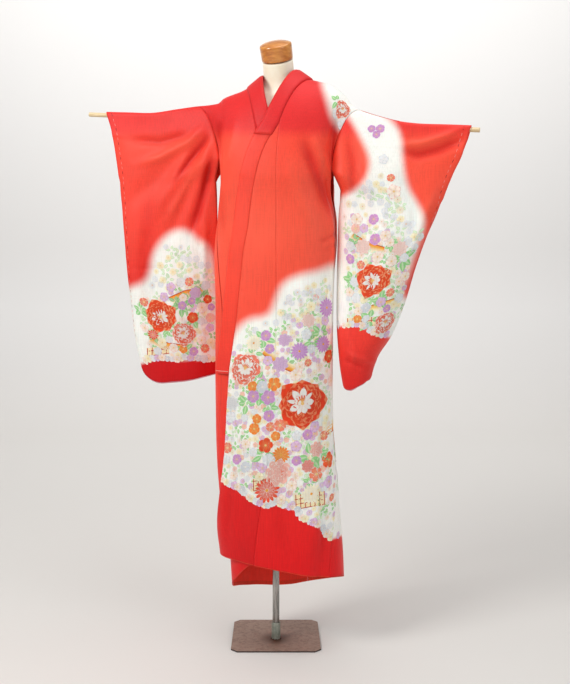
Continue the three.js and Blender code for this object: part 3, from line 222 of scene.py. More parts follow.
def spow(v, e):
    return np.sign(v) * np.abs(v) ** e


# ---------------------------------------------------------------- the body
_ovals = {}


def oval(z):
    key = math.floor(z * 2 + 0.5)
    if key not in _ovals:
        h = key / 2
        x0, x1 = TUBE(h, "right_x"), TUBE(h, "left_x")
        cx, a = (x0 + x1) / 2, (x1 - x0) / 2
        f, b = -TUBE(h, "front_y"), TUBE(h, "back_y")
        t = np.arange(OVAL_STEPS + 1) / OVAL_STEPS * 2 * np.pi
        s, c = np.sin(t), np.cos(t)
        x = cx + a * spow(s, 2 / ROUNDNESS)
        y = np.where(c > 0, b, f) * spow(c, 2 / ROUNDNESS)
        l = np.concatenate([[0], np.cumsum(np.hypot(np.diff(x), np.diff(y)))])
        _ovals[key] = (x, y, l, l[-1])
    return _ovals[key]


def tube(z, s, off=0.0):
    """Points at height z (a number) and arc lengths s, moved out by off."""
    x, y, l, r = oval(z)
    s = np.asarray(s, float)
    place = lambda q: (np.interp(np.mod(q, r), l, x), np.interp(np.mod(q, r), l, y))
    (px, py), (ax, ay), (bx, by) = place(s), place(s - 14), place(s + 14)
    dx, dy = bx - ax, by - ay
    n = np.hypot(dx, dy)
    n[n == 0] = 1
    return np.stack([px - dy / n * off, py + dx / n * off, np.full(s.shape, float(z))], -1)


def arc_at_x(z, across):
    x, y, l, r = oval(z)
    lo, hi = r * 0.3, r * 0.7
    k = (l > lo) & (l < hi)
    s = np.concatenate([[lo], l[k], [hi]])
    xs = np.interp(s, l, x)
    return float(np.interp(across, xs[::-1], s[::-1]))


def name_of(side):
    return "left" if side > 0 else "right"


def front_arc(side, c, z):
    edge = SEAMS(z, "side_" + name_of(side)) + side * SEAMS(z, "gap_f")
    across = arc_at_x(z, OKUMI_SEAM(z, name_of(side) + "_x"))
    seam = across if side > 0 else across - oval(z)[3]
    return np.where(c <= FRONT_WIDTH, mix(edge, seam, c / FRONT_WIDTH), seam + side * (c - FRONT_WIDTH))


def back_arc(side, c, z):
    edge = SEAMS(z, "side_" + name_of(side)) - side * SEAMS(z, "gap_b")
    return mix(edge, SEAMS(z, "centre_back"), c / BACK_WIDTH)


def folds(side, face, c, z):
    d = 0.0 * c
    for s, f, fc, fz, w, l, depth, lean in BODY_FOLDS:
        if s == side and f == face:
            dz = z - fz
            dc = c - fc - lean * dz
            d = d + depth * np.exp(-((dc / w) ** 2)) * np.exp(-((dz / l) ** 2))
    return d


def front_lift(side, c, z):
    up = 1 - smooth(1725, 1815, z)
    if side > 0:
        flare = 24 * smooth(290, 400, c) * (1 - smooth(270, 640, z))
        return (LAYER * smooth(10, 75, c) + flare) * mix(0.4, 1, up)
    return -7 * smooth(215, 330, c) * up


def neck_point(side, a):
    """A point of the neck line, a from 0 at the shoulder to a quarter turn at the back."""
    n = NECK_SIDE[name_of(side)]
    ky, kz = CREST(n, "y"), CREST(n, "z")
    return np.stack([mix(NECK_BACK[0], n, np.cos(a)), mix(ky, NECK_BACK[1], np.sin(a)), mix(NECK_BACK[2], kz, np.cos(a))], -1)


def panel(side, face, c, down):
    """Points of one row of a panel: c is an array, down a number."""
    c = np.asarray(c, float)
    if down <= 1:
        arm, neck = ARMHOLE[name_of(side)], NECK_SIDE[name_of(side)]
        x = arm + (neck - arm) * c / NECK_CUT
        top = np.stack([x, CREST(x, "y"), CREST(x, "z")], -1)
        if face == "b":
            round_ = neck_point(side, np.clip((c - NECK_CUT) / (BACK_WIDTH - NECK_CUT), 0, 1.2) * (np.pi / 2))
            top = np.where((c > NECK_CUT)[:, None], round_, top)
        lift = front_lift(side, c, CHEST_Z) if face == "f" else 0.0
        foot = tube(CHEST_Z, front_arc(side, c, CHEST_Z) if face == "f" else back_arc(side, c, CHEST_Z), lift)
        body = np.clip(c / 150, 0, 1)
        e = mix(1.1, 1.02, smooth(0, 1, body))
        h = mix(1.02, 1.15, np.clip(c / 220, 0, 1))
        t = max(down, 0) * math.pi / 2
        s, k = math.sin(t) ** e, max(math.cos(t), 0) ** e
        z = mix(foot[:, 2], top[:, 2], k)
        f = folds(side, face, c, z) * smooth(0, 0.35, down)
        y = mix(top[:, 1], foot[:, 1], s) + (-f if face == "f" else f)
        return np.stack([mix(top[:, 0], foot[:, 0], math.sin(t) ** h), y, z], -1)
    z = CHEST_Z - (down - 1) * 100
    arc = front_arc(side, c, z) if face == "f" else back_arc(side, c, z)
    return tube(z, arc, (front_lift(side, c, z) if face == "f" else 0) + folds(side, face, c, z))


def hem_row(side, face, c, zs):
    """A row whose height differs from point to point."""
    out = np.zeros((len(c), 3))
    for i, z in enumerate(zs):
        out[i] = panel(side, face, np.array([c[i]]), 1 + (CHEST_Z - z) / 100)[0]
    return out


def clear_of_form(p):
    z = np.clip(p[..., 2], 1100, 1800)
    a, b, cy = FORM(z, "half_width") + FORM_CLEAR, FORM(z, "half_depth") + FORM_CLEAR, FORM(z, "centre_y")
    r = np.hypot(p[..., 0] / a, (p[..., 1] - cy) / b)
    inside = (r < 1) & (r > 0.05) & (p[..., 2] > 1100) & (p[..., 2] < 1800)
    r = np.where(inside, r, 1)
    q = p.copy()
    q[..., 0] = p[..., 0] / r
    q[..., 1] = cy + (p[..., 1] - cy) / r
    return np.where(inside[..., None], q, p)


_edge_tables = {}


def edge_down(side, face, distance):
    key = (side, face)
    if key not in _edge_tables:
        d = np.arange(401) / 400
        p = np.array([panel(side, face, np.array([0.0]), v)[0] for v in d])
        _edge_tables[key] = (np.concatenate([[0], np.cumsum(np.linalg.norm(np.diff(p, axis=0), axis=1))]), d, p)
    l, d, _ = _edge_tables[key]
    return np.interp(distance, l, d)


def edge_point(side, face, distance):
    edge_down(side, face, 0)
    l, _, p = _edge_tables[(side, face)]
    return np.stack([np.interp(distance, l, p[:, i]) for i in range(3)], -1)


ARM_ROWS = [0, 3, 9, 20, 38, 62, 96, 135, 178, SEWN]
TIP_ROW = {"left": 7, "right": 8}


def front_edge(side, down):
    t = np.clip(down / edge_down(side, "f", ARM_ROWS[TIP_ROW[name_of(side)]]), 0, 1)
    return mix(NECK_CUT, FRONT_WIDTH, t ** 1.25 if side > 0 else t ** 1.6)


def okumi_width(side, down):
    z = panel(side, "f", np.array([FRONT_WIDTH]), down)[0, 2] + (0 if side > 0 else 12)
    return max(OKUMI(z, "width"), 1.6)


def tip_down(side):
    return float(edge_down(side, "f", ARM_ROWS[TIP_ROW[name_of(side)]]))


def seam_edge(side, down):
    if down < tip_down(side) - 1e-6:
        return float(front_edge(side, down))
    return FRONT_WIDTH + okumi_width(side, down)


def hem_z(side, from_back):
    return (HEM_LEFT if side > 0 else HEM_RIGHT)(from_back, "z")


# ---------------------------------------------------------------- the collar
NECK_GAP = 2.2
STAND_DOWN = {"left": 0.72, "right": 1.0}
COLLAR_END_Z = 877.0


def unit(v):
    return v / np.maximum(np.linalg.norm(v, axis=-1, keepdims=True), 1e-9)


def outward(side, face, c, down):
    pa = lambda cc, dd: panel(side, face, np.array([cc]), dd)[0]
    up = max(down - 0.05, 0.0)
    n = np.cross(pa(c + 6, down) - pa(c - 6, down), pa(c, up + 0.1) - pa(c, up))
    out = 1 if (side > 0) == (face == "f") else -1
    return unit(n) * out


def collar_row(side, down, ts):
    """Points across the collar at fractions ts of its width."""
    nm = name_of(side)
    c = seam_edge(side, down)
    seam = panel(side, "f", np.array([c]), down)[0]
    n = outward(side, "f", c, down)
    above, below = max(down - 0.06, 0), down + 0.06
    along = unit(panel(side, "f", np.array([seam_edge(side, above)]), above)[0]
                 - panel(side, "f", np.array([seam_edge(side, below)]), below)[0])
    across = unit(np.cross(along, n))
    if across[0] * side > 0:
        across = -across
    stand = float(1 - smooth(0, STAND_DOWN[nm], down))
    start = mix(SEAM * 1.5, NECK_GAP, stand)
    nx = NECK_SIDE[nm]
    rise = np.array([COLLAR_FREE(side, "x") - nx, COLLAR_FREE(side, "y") - CREST(nx, "y"), COLLAR_FREE(side, "z") - CREST(nx, "z")])
    flat = COLLAR_WIDTH(down, "width")
    width = mix(flat, np.linalg.norm(rise), stand ** 2)
    lean = unit(mix(across, unit(rise), stand))
    if down > 1:
        return panel(side, "f", c + mix(start, flat, ts), down)
    return seam + lean * mix(start, width, ts)[:, None]


# ---------------------------------------------------------------- the sleeves
def sleeve_fold(name, p, drop):
    d = 0.0
    for fp, fd, w, l, depth, angle in SLEEVE_FOLDS[name]:
        u, v, a = (p - fp) * SLEEVE_WIDTH, drop - fd * SLEEVE_LENGTH, math.radians(angle)
        across, along = u * math.cos(a) - v * math.sin(a), u * math.sin(a) + v * math.cos(a)
        d = d + depth * np.exp(-((across / w) ** 2) - (along / l) ** 2)
    return d * smooth(70, 170, drop)


def section_points(name, down, p):
    """Middle line in plan: down and p are equal arrays. Returns points and forward directions."""
    s = SLEEVES[name]
    T = s["sections"]
    ix, iy, ox, oy = (T(down, k) for k in ("inner_x", "inner_y", "outer_x", "outer_y"))
    b, e = T(down, "bulge"), 2 / T(down, "square")
    mx, my, hx, hy = (ix + ox) / 2, (iy + oy) / 2, (ox - ix) / 2, (oy - iy) / 2
    l = np.hypot(hx, hy)
    side = np.sign(hx)
    nx, ny = hy / l * side, -hx / l * side
    t = np.arange(81) / 80 * np.pi
    c = -spow(np.cos(t)[None, :], e[:, None])
    q = spow(np.sin(t)[None, :], e[:, None]) * b[:, None]
    X = mx[:, None] + hx[:, None] * c + nx[:, None] * q
    Y = my[:, None] + hy[:, None] * c + ny[:, None] * q
    L = np.concatenate([np.zeros((len(p), 1)), np.cumsum(np.hypot(np.diff(X), np.diff(Y)), axis=1)], 1)

    def read(pp):
        v = np.clip(pp, 0, 1) * L[:, -1]
        i = np.clip((L <= v[:, None]).sum(1) - 1, 0, 79)
        r = np.arange(len(v))
        f = (v - L[r, i]) / np.maximum(L[r, i + 1] - L[r, i], 1e-9)
        return mix(X[r, i], X[r, i + 1], f), mix(Y[r, i], Y[r, i + 1], f)
    x, y = read(p)
    ax, ay = read(p - 0.03)
    bx, by = read(p + 0.03)
    dx, dy = bx - ax, by - ay
    n = np.hypot(dx, dy)
    n[n == 0] = 1
    return x, y, dy / n * s["side"], -dx / n * s["side"]


def column_length(name, p):
    x = p * SLEEVE_WIDTH - (SLEEVE_WIDTH - SLEEVE_CORNER)
    cut = np.where(x > 0, SLEEVE_CORNER - np.sqrt(np.maximum(SLEEVE_CORNER ** 2 - x * x, 0)), 0)
    return SLEEVES[name]["length"](p, "length") - cut


def sleeve_layer(name, face, p, drop):
    """Points of a layer of the sleeve: p and drop are equal arrays."""
    s = SLEEVES[name]
    sign = 1 if face == "f" else -1
    total = column_length(name, p)
    full = s["length"](p, "length")
    g = s["gap"](drop / SLEEVE_LENGTH, "gap") / 2
    rim = 11.0
    near = np.minimum(drop, total - drop)
    turn = np.where(near < rim, np.sqrt(np.maximum(1 - (1 - np.maximum(near, 0) / rim) ** 2, 0)), 1)
    edge = mix(1, 0.55, smooth(0.82, 1, p))
    half = mix(g, g * np.where(drop < 90, 1, edge), smooth(60, 140, drop))
    # the sewn part of the outer edge is pinched shut
    pinch = np.sqrt(np.maximum(1 - (np.clip((p - 0.945) / 0.055, 0, 1)) ** 2, 0))
    half = half * mix(1, mix(0.12, 1, pinch), smooth(SEWN, SEWN + 26, drop))
    x, y, fx, fy = section_points(name, drop / full, p)
    z = s["crest"](p, "z") - drop
    fold = sleeve_fold(name, p, drop) * (1 if face == "f" else 0.55)
    off = sign * half * turn + fold
    out = np.stack([x + fx * off, y + fy * off, z], -1)
    reach = (1 - np.clip(p / 0.62, 0, 1)) ** 2
    d = np.minimum(drop, SEWN)
    fade = 1 - smooth(SEWN, SEWN + 34, drop)
    target = edge_point(s["side"], face, d)
    rt = np.where(d < rim, np.sqrt(np.maximum(1 - (1 - d / rim) ** 2, 0)), 1)
    g0 = s["gap"](d / SLEEVE_LENGTH, "gap") / 2
    zero = 0 * p
    bx, by, bfx, bfy = section_points(name, d / s["length"](0.0, "length"), zero)
    bo = sign * g0 * rt + sleeve_fold(name, zero, d) * (1 if face == "f" else 0.55)
    base = np.stack([bx + bfx * bo, by + bfy * bo, s["crest"](zero, "z") - d], -1)
    return out + (target - base) * (reach * fade)[:, None]

# ---------------------------------------------------------------- the view the front is read in
# Places on the cloth are given as the front view's picture places: right, down, in picture units of
# 570 x 684, seen from 3.07 m away, 17 degrees to the wearer's left. Hidden sides use the same places,
# seen through the part.
VIEW = dict(f=937.0, d=3.07, height=1.127, turn=math.radians(17), cx=276.0, cy=296.0)
EYE = np.array([VIEW["d"] * math.sin(VIEW["turn"]), -VIEW["d"] * math.cos(VIEW["turn"]), VIEW["height"]]) * 1000


def picture(p):
    """Picture places of points in millimetres."""
    a = VIEW["turn"]
    x, y, z = p[..., 0] / 1000, p[..., 1] / 1000, p[..., 2] / 1000
    depth = VIEW["d"] - x * math.sin(a) + y * math.cos(a)
    lat = x * math.cos(a) + y * math.sin(a)
    return np.stack([VIEW["cx"] + VIEW["f"] * lat / depth, VIEW["cy"] - VIEW["f"] * (z - VIEW["height"]) / depth], -1)


# ---------------------------------------------------------------- grids of cloth
class Cloth:
    """A sheet as one or more grids of points and normals."""

    def __init__(self, name):
        self.name, self.grids = name, {}

    def add(self, key, P, wrap=False):
        P = np.asarray(P, float)
        self.grids[key] = dict(P=P, N=normals_of(P))
        return self.grids[key]


def normals_of(P):
    a = np.gradient(P, axis=0)
    b = np.gradient(P, axis=1)
    return unit(np.cross(b, a))


def steps(a, b, size):
    return np.linspace(a, b, max(int(math.ceil(abs(b - a) / size)), 2) + 1)


STEP = 5.5
HEM_TOP = 330.0                # below this the rows lean into the hem


def down_steps():
    rib = np.linspace(0, 1, int(RIB / STEP) + 1)
    return rib, 1 + (CHEST_Z - steps(1500, HEM_TOP, STEP * 1.15)) / 100


def front_grid(side, part):
    """part 'body' or 'okumi': rows of points from the top to the hem."""
    half = SEAM / 2
    rib, low = down_steps()
    rows = []
    if part == "okumi":
        tip = tip_down(side)
        rib = np.concatenate([[tip], rib[rib > tip + 0.004]])
    n = int((FRONT_WIDTH if part == "body" else 140) / STEP) + 1
    f = np.linspace(0, 1, n + 1)
    for d in np.concatenate([rib, low[1:]]):
        d = float(d)
        if part == "body":
            inner = (front_edge(side, d) if d <= 1 else FRONT_WIDTH) - half
            c = mix(half, inner, f)
        else:
            w = seam_edge(side, d) - FRONT_WIDTH
            c = FRONT_WIDTH + half + (w - 2 * half) * f
        rows.append(panel(side, "f", c, d))
    c0 = c
    if part == "okumi":
        c1 = FRONT_WIDTH + half + (OKUMI(300, "width") - 2 * half) * f
    else:
        c1 = c0
    bottom = hem_z(side, BACK_WIDTH + c1)
    m = int((HEM_TOP - bottom.mean()) / (STEP * 1.1)) + 1
    for t in np.linspace(0, 1, m + 1)[1:]:
        rows.append(hem_row(side, "f", mix(c0, c1, t), mix(HEM_TOP, bottom, t)))
    return clear_of_form(np.array(rows))


def back_grid(side):
    half = SEAM / 2
    rib, low = down_steps()
    n = int(FRONT_WIDTH / STEP) + 1
    c = np.concatenate([mix(half, NECK_CUT, np.linspace(0, 1, n + 1)), steps(NECK_CUT, BACK_WIDTH - half, STEP)[1:]])
    rows = [panel(side, "b", c, float(d)) for d in np.concatenate([rib, low[1:]])]
    bottom = hem_z(side, BACK_WIDTH - c)
    m = int((HEM_TOP - bottom.mean()) / (STEP * 1.1)) + 1
    for t in np.linspace(0, 1, m + 1)[1:]:
        rows.append(hem_row(side, "b", c, mix(HEM_TOP, bottom, t)))
    return clear_of_form(np.array(rows)), n


def collar_grid():
    """Rows along the band from its left end up, round the neck and down to its right end."""
    ts = np.linspace(0, 1, (10) + 1)
    rib = np.linspace(0, 1, int(RIB / STEP) + 1)
    low = 1 + (CHEST_Z - steps(1500, COLLAR_END_Z, STEP * 1.15)) / 100
    downs = np.concatenate([rib, low[1:]])
    rows = [collar_row(1, float(d), ts) for d in downs[::-1]]
    for turn in np.linspace(1, -1, 2 * int(165 / STEP) + 1)[1:-1]:
        nm = "left" if turn >= 0 else "right"
        k = NECK_SIDE[nm]
        a = (1 - abs(turn)) * math.pi / 2
        seam = np.array([mix(NECK_BACK[0], k, math.cos(a)), mix(CREST(k, "y"), NECK_BACK[1], math.sin(a)), mix(NECK_BACK[2], CREST(k, "z"), math.cos(a))])
        free = np.array([COLLAR_FREE(turn, "x"), COLLAR_FREE(turn, "y"), COLLAR_FREE(turn, "z")])
        seam = seam + unit(free - seam) * NECK_GAP
        rows.append(mix(seam[None], free[None], ts[:, None]))
    rows += [collar_row(-1, float(d), ts) for d in downs]
    return np.array(rows)


def sleeve_grids(name):
    """Front and back layers, rows by drop and columns from the body to the cuff."""
    p = np.linspace(0, 1, int(SLEEVE_WIDTH / STEP) + 1)
    total = column_length(name, p)
    m = int(800 / STEP)
    # rows: the first ones shared with the sewn edge, then even steps to the bottom
    head = np.concatenate([[0, 1.2, 3.2, 6.5, 11], np.linspace(11, SEWN, int(210 / STEP) + 1)[1:]])
    tail = np.linspace(0, 1, m - len(head))[1:]
    tail = np.concatenate([tail[tail < 0.985], [0.985, 0.992, 0.997, 1.0]])
    out = {}
    away0 = {}
    side = SLEEVES[name]["side"]
    for face in "fb":
        rows = []
        for d in head:
            rows.append(sleeve_layer(name, face, p, 0 * p + d))
        for t in tail:
            rows.append(sleeve_layer(name, face, p, SEWN + (total - SEWN) * t))
        P = np.array(rows)
        # a seam's gap beyond the body's edge
        near = np.maximum(1 - p / 0.12, 0)
        for k, d in enumerate(head):
            dn = max(float(edge_down(side, face, d)), 0.02)
            away = unit(panel(side, face, np.array([0.0]), dn)[0] - panel(side, face, np.array([5.0]), dn)[0])
            P[k] += away * (0.8 + (1.2 if d < 4 else 0)) * near[:, None]
        out[face] = P
    return out, p, total, head


# ---------------------------------------------------------------- creases
# piece, face, picture places along the crease, half width in picture units, depth in millimetres
# (a ridge is positive).
CREASES = [
    # left front: along the armhole, across to the side, and small ones under the arm
    ("body_left", "f", [(336, 112), (334, 132), (333, 155), (337, 180)], 3.2, -10.6),
    ("body_left", "f", [(300, 136), (311, 160), (322, 190), (335, 226)], 5.5, -12.5),
    ("body_left", "f", [(311, 132), (322, 158), (333, 186)], 4.0, 6.7),
    ("body_left", "f", [(290, 150), (299, 190), (316, 232)], 6.0, 4.3),
    ("body_left", "f", [(319, 243), (329, 238), (339, 231)], 2.2, -4.6),
    ("body_left", "f", [(322, 252), (333, 246), (341, 243)], 2.0, -2.9),
    ("body_left", "f", [(262, 150), (256, 230), (253, 320)], 7.0, 3.4),
    ("body_left", "f", [(300, 250), (303, 360), (300, 470)], 8.0, 3.9),
    ("body_left", "f", [(322, 380), (322, 470), (324, 576)], 3.0, -6.9),
    ("body_left", "f", [(333, 350), (336, 440), (338, 560)], 3.0, 4.6),
    ("body_left", "f", [(285, 420), (281, 500), (284, 572)], 8.0, -4.3),
    ("body_left", "f", [(255, 460), (252, 520), (250, 566)], 6.0, 3.4),
    ("body_left", "f", [(238, 289.5), (262, 290), (283, 290)], 1.8, -4.4),
    ("okumi_left", "f", [(214, 289.5), (230, 290), (246, 290)], 1.8, -4.4),
    ("okumi_left", "f", [(232, 420), (229, 500), (226, 560)], 4.0, -3.1),
    ("okumi_left", "f", [(240, 250), (238, 330), (236, 400)], 4.0, 2.3),
    # right front and armpit
    ("body_right", "f", [(221, 118), (218, 140), (216, 166)], 3.5, -8.7),
    ("body_right", "f", [(240, 110), (232, 140), (222, 175)], 4.5, 4.3),
    ("body_right", "f", [(216, 176), (221, 205), (225, 240)], 3.0, -3.9),
    # back
    ("body_left", "b", [(330, 125), (318, 170), (300, 225)], 5.0, -8.7),
    ("body_left", "b", [(341, 160), (330, 200), (318, 260)], 4.0, 5.7),
    ("body_left", "b", [(300, 300), (305, 400), (310, 520)], 8.0, -5.7),
    ("body_left", "b", [(285, 250), (288, 360), (286, 560)], 7.0, 3.9),
    ("body_right", "b", [(222, 130), (236, 175), (252, 230)], 5.0, -8.7),
    ("body_right", "b", [(216, 165), (228, 210), (240, 265)], 4.0, 5.7),
    ("body_right", "b", [(245, 300), (240, 420), (236, 540)], 8.0, -5.7),
    ("body_right", "b", [(262, 240), (259, 380), (262, 560)], 7.0, 3.9),
    ("body_left", "b", [(262, 172), (290, 176), (320, 172)], 3.0, -2.3),
    ("body_right", "b", [(222, 182), (240, 188), (262, 186)], 3.0, -2.3),
    # right sleeve: folds spread from the armhole
    ("sleeve_right", "f", [(208, 122), (190, 142), (160, 158), (135, 165)], 4.5, 10.6),
    ("sleeve_right", "f", [(212, 130), (202, 145), (187, 164), (172, 184)], 3.6, -13.0),
    ("sleeve_right", "f", [(206, 152), (190, 180), (176, 205), (164, 228)], 5.0, 10.6),
    ("sleeve_right", "f", [(214, 150), (207, 180), (198, 212), (188, 240)], 4.6, -15.4),
    ("sleeve_right", "f", [(190, 134), (160, 142), (128, 140)], 4.0, -6.6),
    ("sleeve_right", "f", [(206, 214), (204, 250), (205, 290)], 4.0, 7.1),
    ("sleeve_right", "f", [(150, 190), (146, 250), (148, 310)], 8.0, -6.0),
    ("sleeve_right", "f", [(172, 250), (172, 300), (178, 350)], 9.0, 5.8),
    ("sleeve_right", "f", [(192, 280), (193, 320), (196, 360)], 5.0, -5.2),
    ("sleeve_right", "f", [(130, 268), (150, 268), (175, 270)], 1.6, -2.0),
    ("sleeve_right", "b", [(210, 125), (188, 150), (160, 175)], 5.0, -9.5),
    ("sleeve_right", "b", [(206, 160), (192, 200), (184, 250)], 5.0, 9.5),
    ("sleeve_right", "b", [(160, 200), (158, 260), (162, 330)], 8.0, -7.1),
    ("sleeve_right", "b", [(135, 170), (137, 240), (145, 320)], 6.0, 4.8),
    # left sleeve: a fold to the cuff, a hang along the body, wrinkles at the bottom
    ("sleeve_left", "f", [(398, 144), (420, 144), (446, 136), (468, 126)], 3.4, 9.5),
    ("sleeve_left", "f", [(398, 150), (418, 155), (438, 150), (456, 142), (468, 134)], 5.2, -11.9),
    ("sleeve_left", "f", [(352, 120), (364, 148), (370, 185), (366, 225)], 5.0, 7.1),
    ("sleeve_left", "f", [(346, 135), (353, 165), (352, 205)], 3.8, -7.1),
    ("sleeve_left", "f", [(395, 165), (412, 205), (416, 250)], 6.0, -6.1),
    ("sleeve_left", "f", [(378, 210), (384, 270), (376, 330)], 7.0, 5.8),
    ("sleeve_left", "f", [(358, 230), (354, 300), (352, 350)], 5.0, -4.8),
    ("sleeve_left", "f", [(346, 350), (354, 357), (366, 360), (378, 362)], 2.0, 6.1),
    ("sleeve_left", "f", [(344, 358), (354, 364), (366, 368)], 2.0, -6.1),
    ("sleeve_left", "f", [(350, 340), (354, 352), (352, 372)], 2.4, 4.2),
    ("sleeve_left", "b", [(360, 125), (382, 160), (390, 205)], 5.0, -9.5),
    ("sleeve_left", "b", [(400, 135), (425, 132), (455, 122)], 4.0, 7.1),
    ("sleeve_left", "b", [(372, 210), (380, 270), (370, 330)], 7.0, 6.1),
    ("sleeve_left", "b", [(350, 240), (348, 300), (352, 360)], 5.0, -5.8),
    ("sleeve_left", "f", [(447, 196), (430, 236), (414, 276), (404, 300)], 3.4, -8.5),
    ("sleeve_left", "f", [(436, 186), (420, 226), (404, 268)], 4.0, 5.0),
]


def along_line(q, line):
    """Distance of picture places from a line of places, and the share of its length there."""
    line = np.array(line, float)
    seg = np.linalg.norm(np.diff(line, axis=0), axis=1)
    best = np.full(q.shape[:-1], 1e9)
    share = np.zeros(q.shape[:-1])
    run = 0.0
    for i in range(len(line) - 1):
        a, b = line[i], line[i + 1]
        ab = b - a
        t = np.clip(((q - a) @ ab) / (ab @ ab), 0, 1)
        d = np.linalg.norm(q - a - t[..., None] * ab, axis=-1)
        k = d < best
        best = np.where(k, d, best)
        share = np.where(k, (run + t * seg[i]) / seg.sum(), share)
        run += seg[i]
    return best, share


def relief(piece, face, q):
    """Depth of the creases at picture places: troughs below 0, ridges above."""
    d = np.zeros(q.shape[:-1])
    for who, f, line, w, depth in CREASES:
        if f != face or who != piece:
            continue
        dist, share = along_line(q, line)
        fade = smooth(0, 0.25, share) * (1 - smooth(0.7, 1, share)) * 0.8 + 0.2 * np.exp(-((share - 0.5) / 0.6) ** 2)
        d += depth * np.exp(-((dist / w) ** 2)) * fade
    return d


def crease(piece, face, P, N, hold=None):
    q = picture(P)
    d = relief(piece, face, q)
    if piece.startswith("sleeve"):
        # the rod lies right under the cloth: no trough there
        rod = 1760 - 123 * (P[..., 0] + 680) / 1335
        near = smooth(44, 20, np.abs(P[..., 2] - rod))
        d = np.where(d < 0, d * (1 - near), d)
    # uneven slack all over
    z = P[..., 2]
    u = q[..., 0]
    seed = {"f": 0.0, "b": 2.1}[face] + len(piece)
    d += 0.9 * np.sin(u / 9.1 + 1.7 * np.sin(z / 310 + seed) + seed) * smooth(1560, 1380, z)
    d += 0.5 * np.sin(u / 4.7 + 2.2 * np.sin(z / 170 + seed * 2)) * smooth(1500, 1200, z)
    if hold is not None:
        d = d * hold
    return P + N * d[..., None]


# ---------------------------------------------------------------- the dye, with painted shade and highlight on the creases
def colour(r, g, b):
    c = np.array([r, g, b], float) / 255
    return np.where(c <= 0.04045, c / 12.92, ((c + 0.055) / 1.055) ** 2.4)


WHITE = colour(250, 245, 238)
DEEP = colour(186, 12, 20)
# Red of the ground by height in the picture, darker at the top and toward the bottom and brightest between: right, the
# bodies; then the sleeves.
GROUND = {
    "body": [(30, 214, 34, 36), (120, 222, 40, 40), (128, 226, 44, 42), (139, 250, 74, 54), (230, 254, 90, 66), (330, 252, 78, 58),
             (430, 242, 54, 42), (500, 234, 34, 32), (560, 230, 20, 24), (600, 222, 14, 20)],
    "collar": [(30, 208, 28, 32), (128, 220, 38, 40), (139, 246, 68, 52), (230, 250, 76, 56), (330, 246, 66, 48), (380, 238, 54, 44)],
    "sleeve": [(90, 222, 40, 40), (128, 232, 50, 44), (142, 248, 72, 54), (240, 246, 66, 50), (300, 234, 44, 38), (350, 214, 20, 24), (380, 202, 12, 20)],
    "sleeve_left": [(90, 222, 40, 40), (128, 238, 56, 48), (142, 252, 80, 58), (240, 252, 84, 62), (300, 248, 70, 54), (350, 242, 56, 46), (380, 228, 38, 34)],
    "okumi": [(100, 222, 40, 40), (139, 250, 74, 54), (230, 254, 90, 66), (330, 252, 78, 58), (430, 240, 52, 40), (500, 222, 26, 27), (560, 216, 14, 20)],
}


def ground(kind, q):
    t = np.array(GROUND[kind], float)
    y = q[..., 1]
    return np.stack([np.interp(y, t[:, 0], colour_table(t[:, 1:])[:, i]) for i in range(3)], -1)


def colour_table(t):
    c = t / 255
    return np.where(c <= 0.04045, c / 12.92, ((c + 0.055) / 1.055) ** 2.4)


def inside_distance(q, poly):
    """Distance of places inside a closed outline (positive inside)."""
    poly = np.array(poly, float)
    best = np.full(q.shape[:-1], 1e9)
    inside = np.zeros(q.shape[:-1], bool)
    n = len(poly)
    x, y = q[..., 0], q[..., 1]
    for i in range(n):
        a, b = poly[i], poly[(i + 1) % n]
        ab = b - a
        t = np.clip(((q - a) @ ab) / (ab @ ab + 1e-12), 0, 1)
        best = np.minimum(best, np.linalg.norm(q - a - t[..., None] * ab, axis=-1))
        if a[1] != b[1]:
            hit = ((a[1] > y) != (b[1] > y)) & (x < (b[0] - a[0]) * (y - a[1]) / (b[1] - a[1]) + a[0])
            inside ^= hit
    return np.where(inside, best, -best)


def rounded(poly, times=2):
    """Outline with its corners cut, so that clouds have round lobes."""
    p = np.array(poly, float)
    for _ in range(times):
        q = np.roll(p, -1, 0)
        p = np.stack([0.75 * p + 0.25 * q, 0.25 * p + 0.75 * q], 1).reshape(-1, 2)
    return p


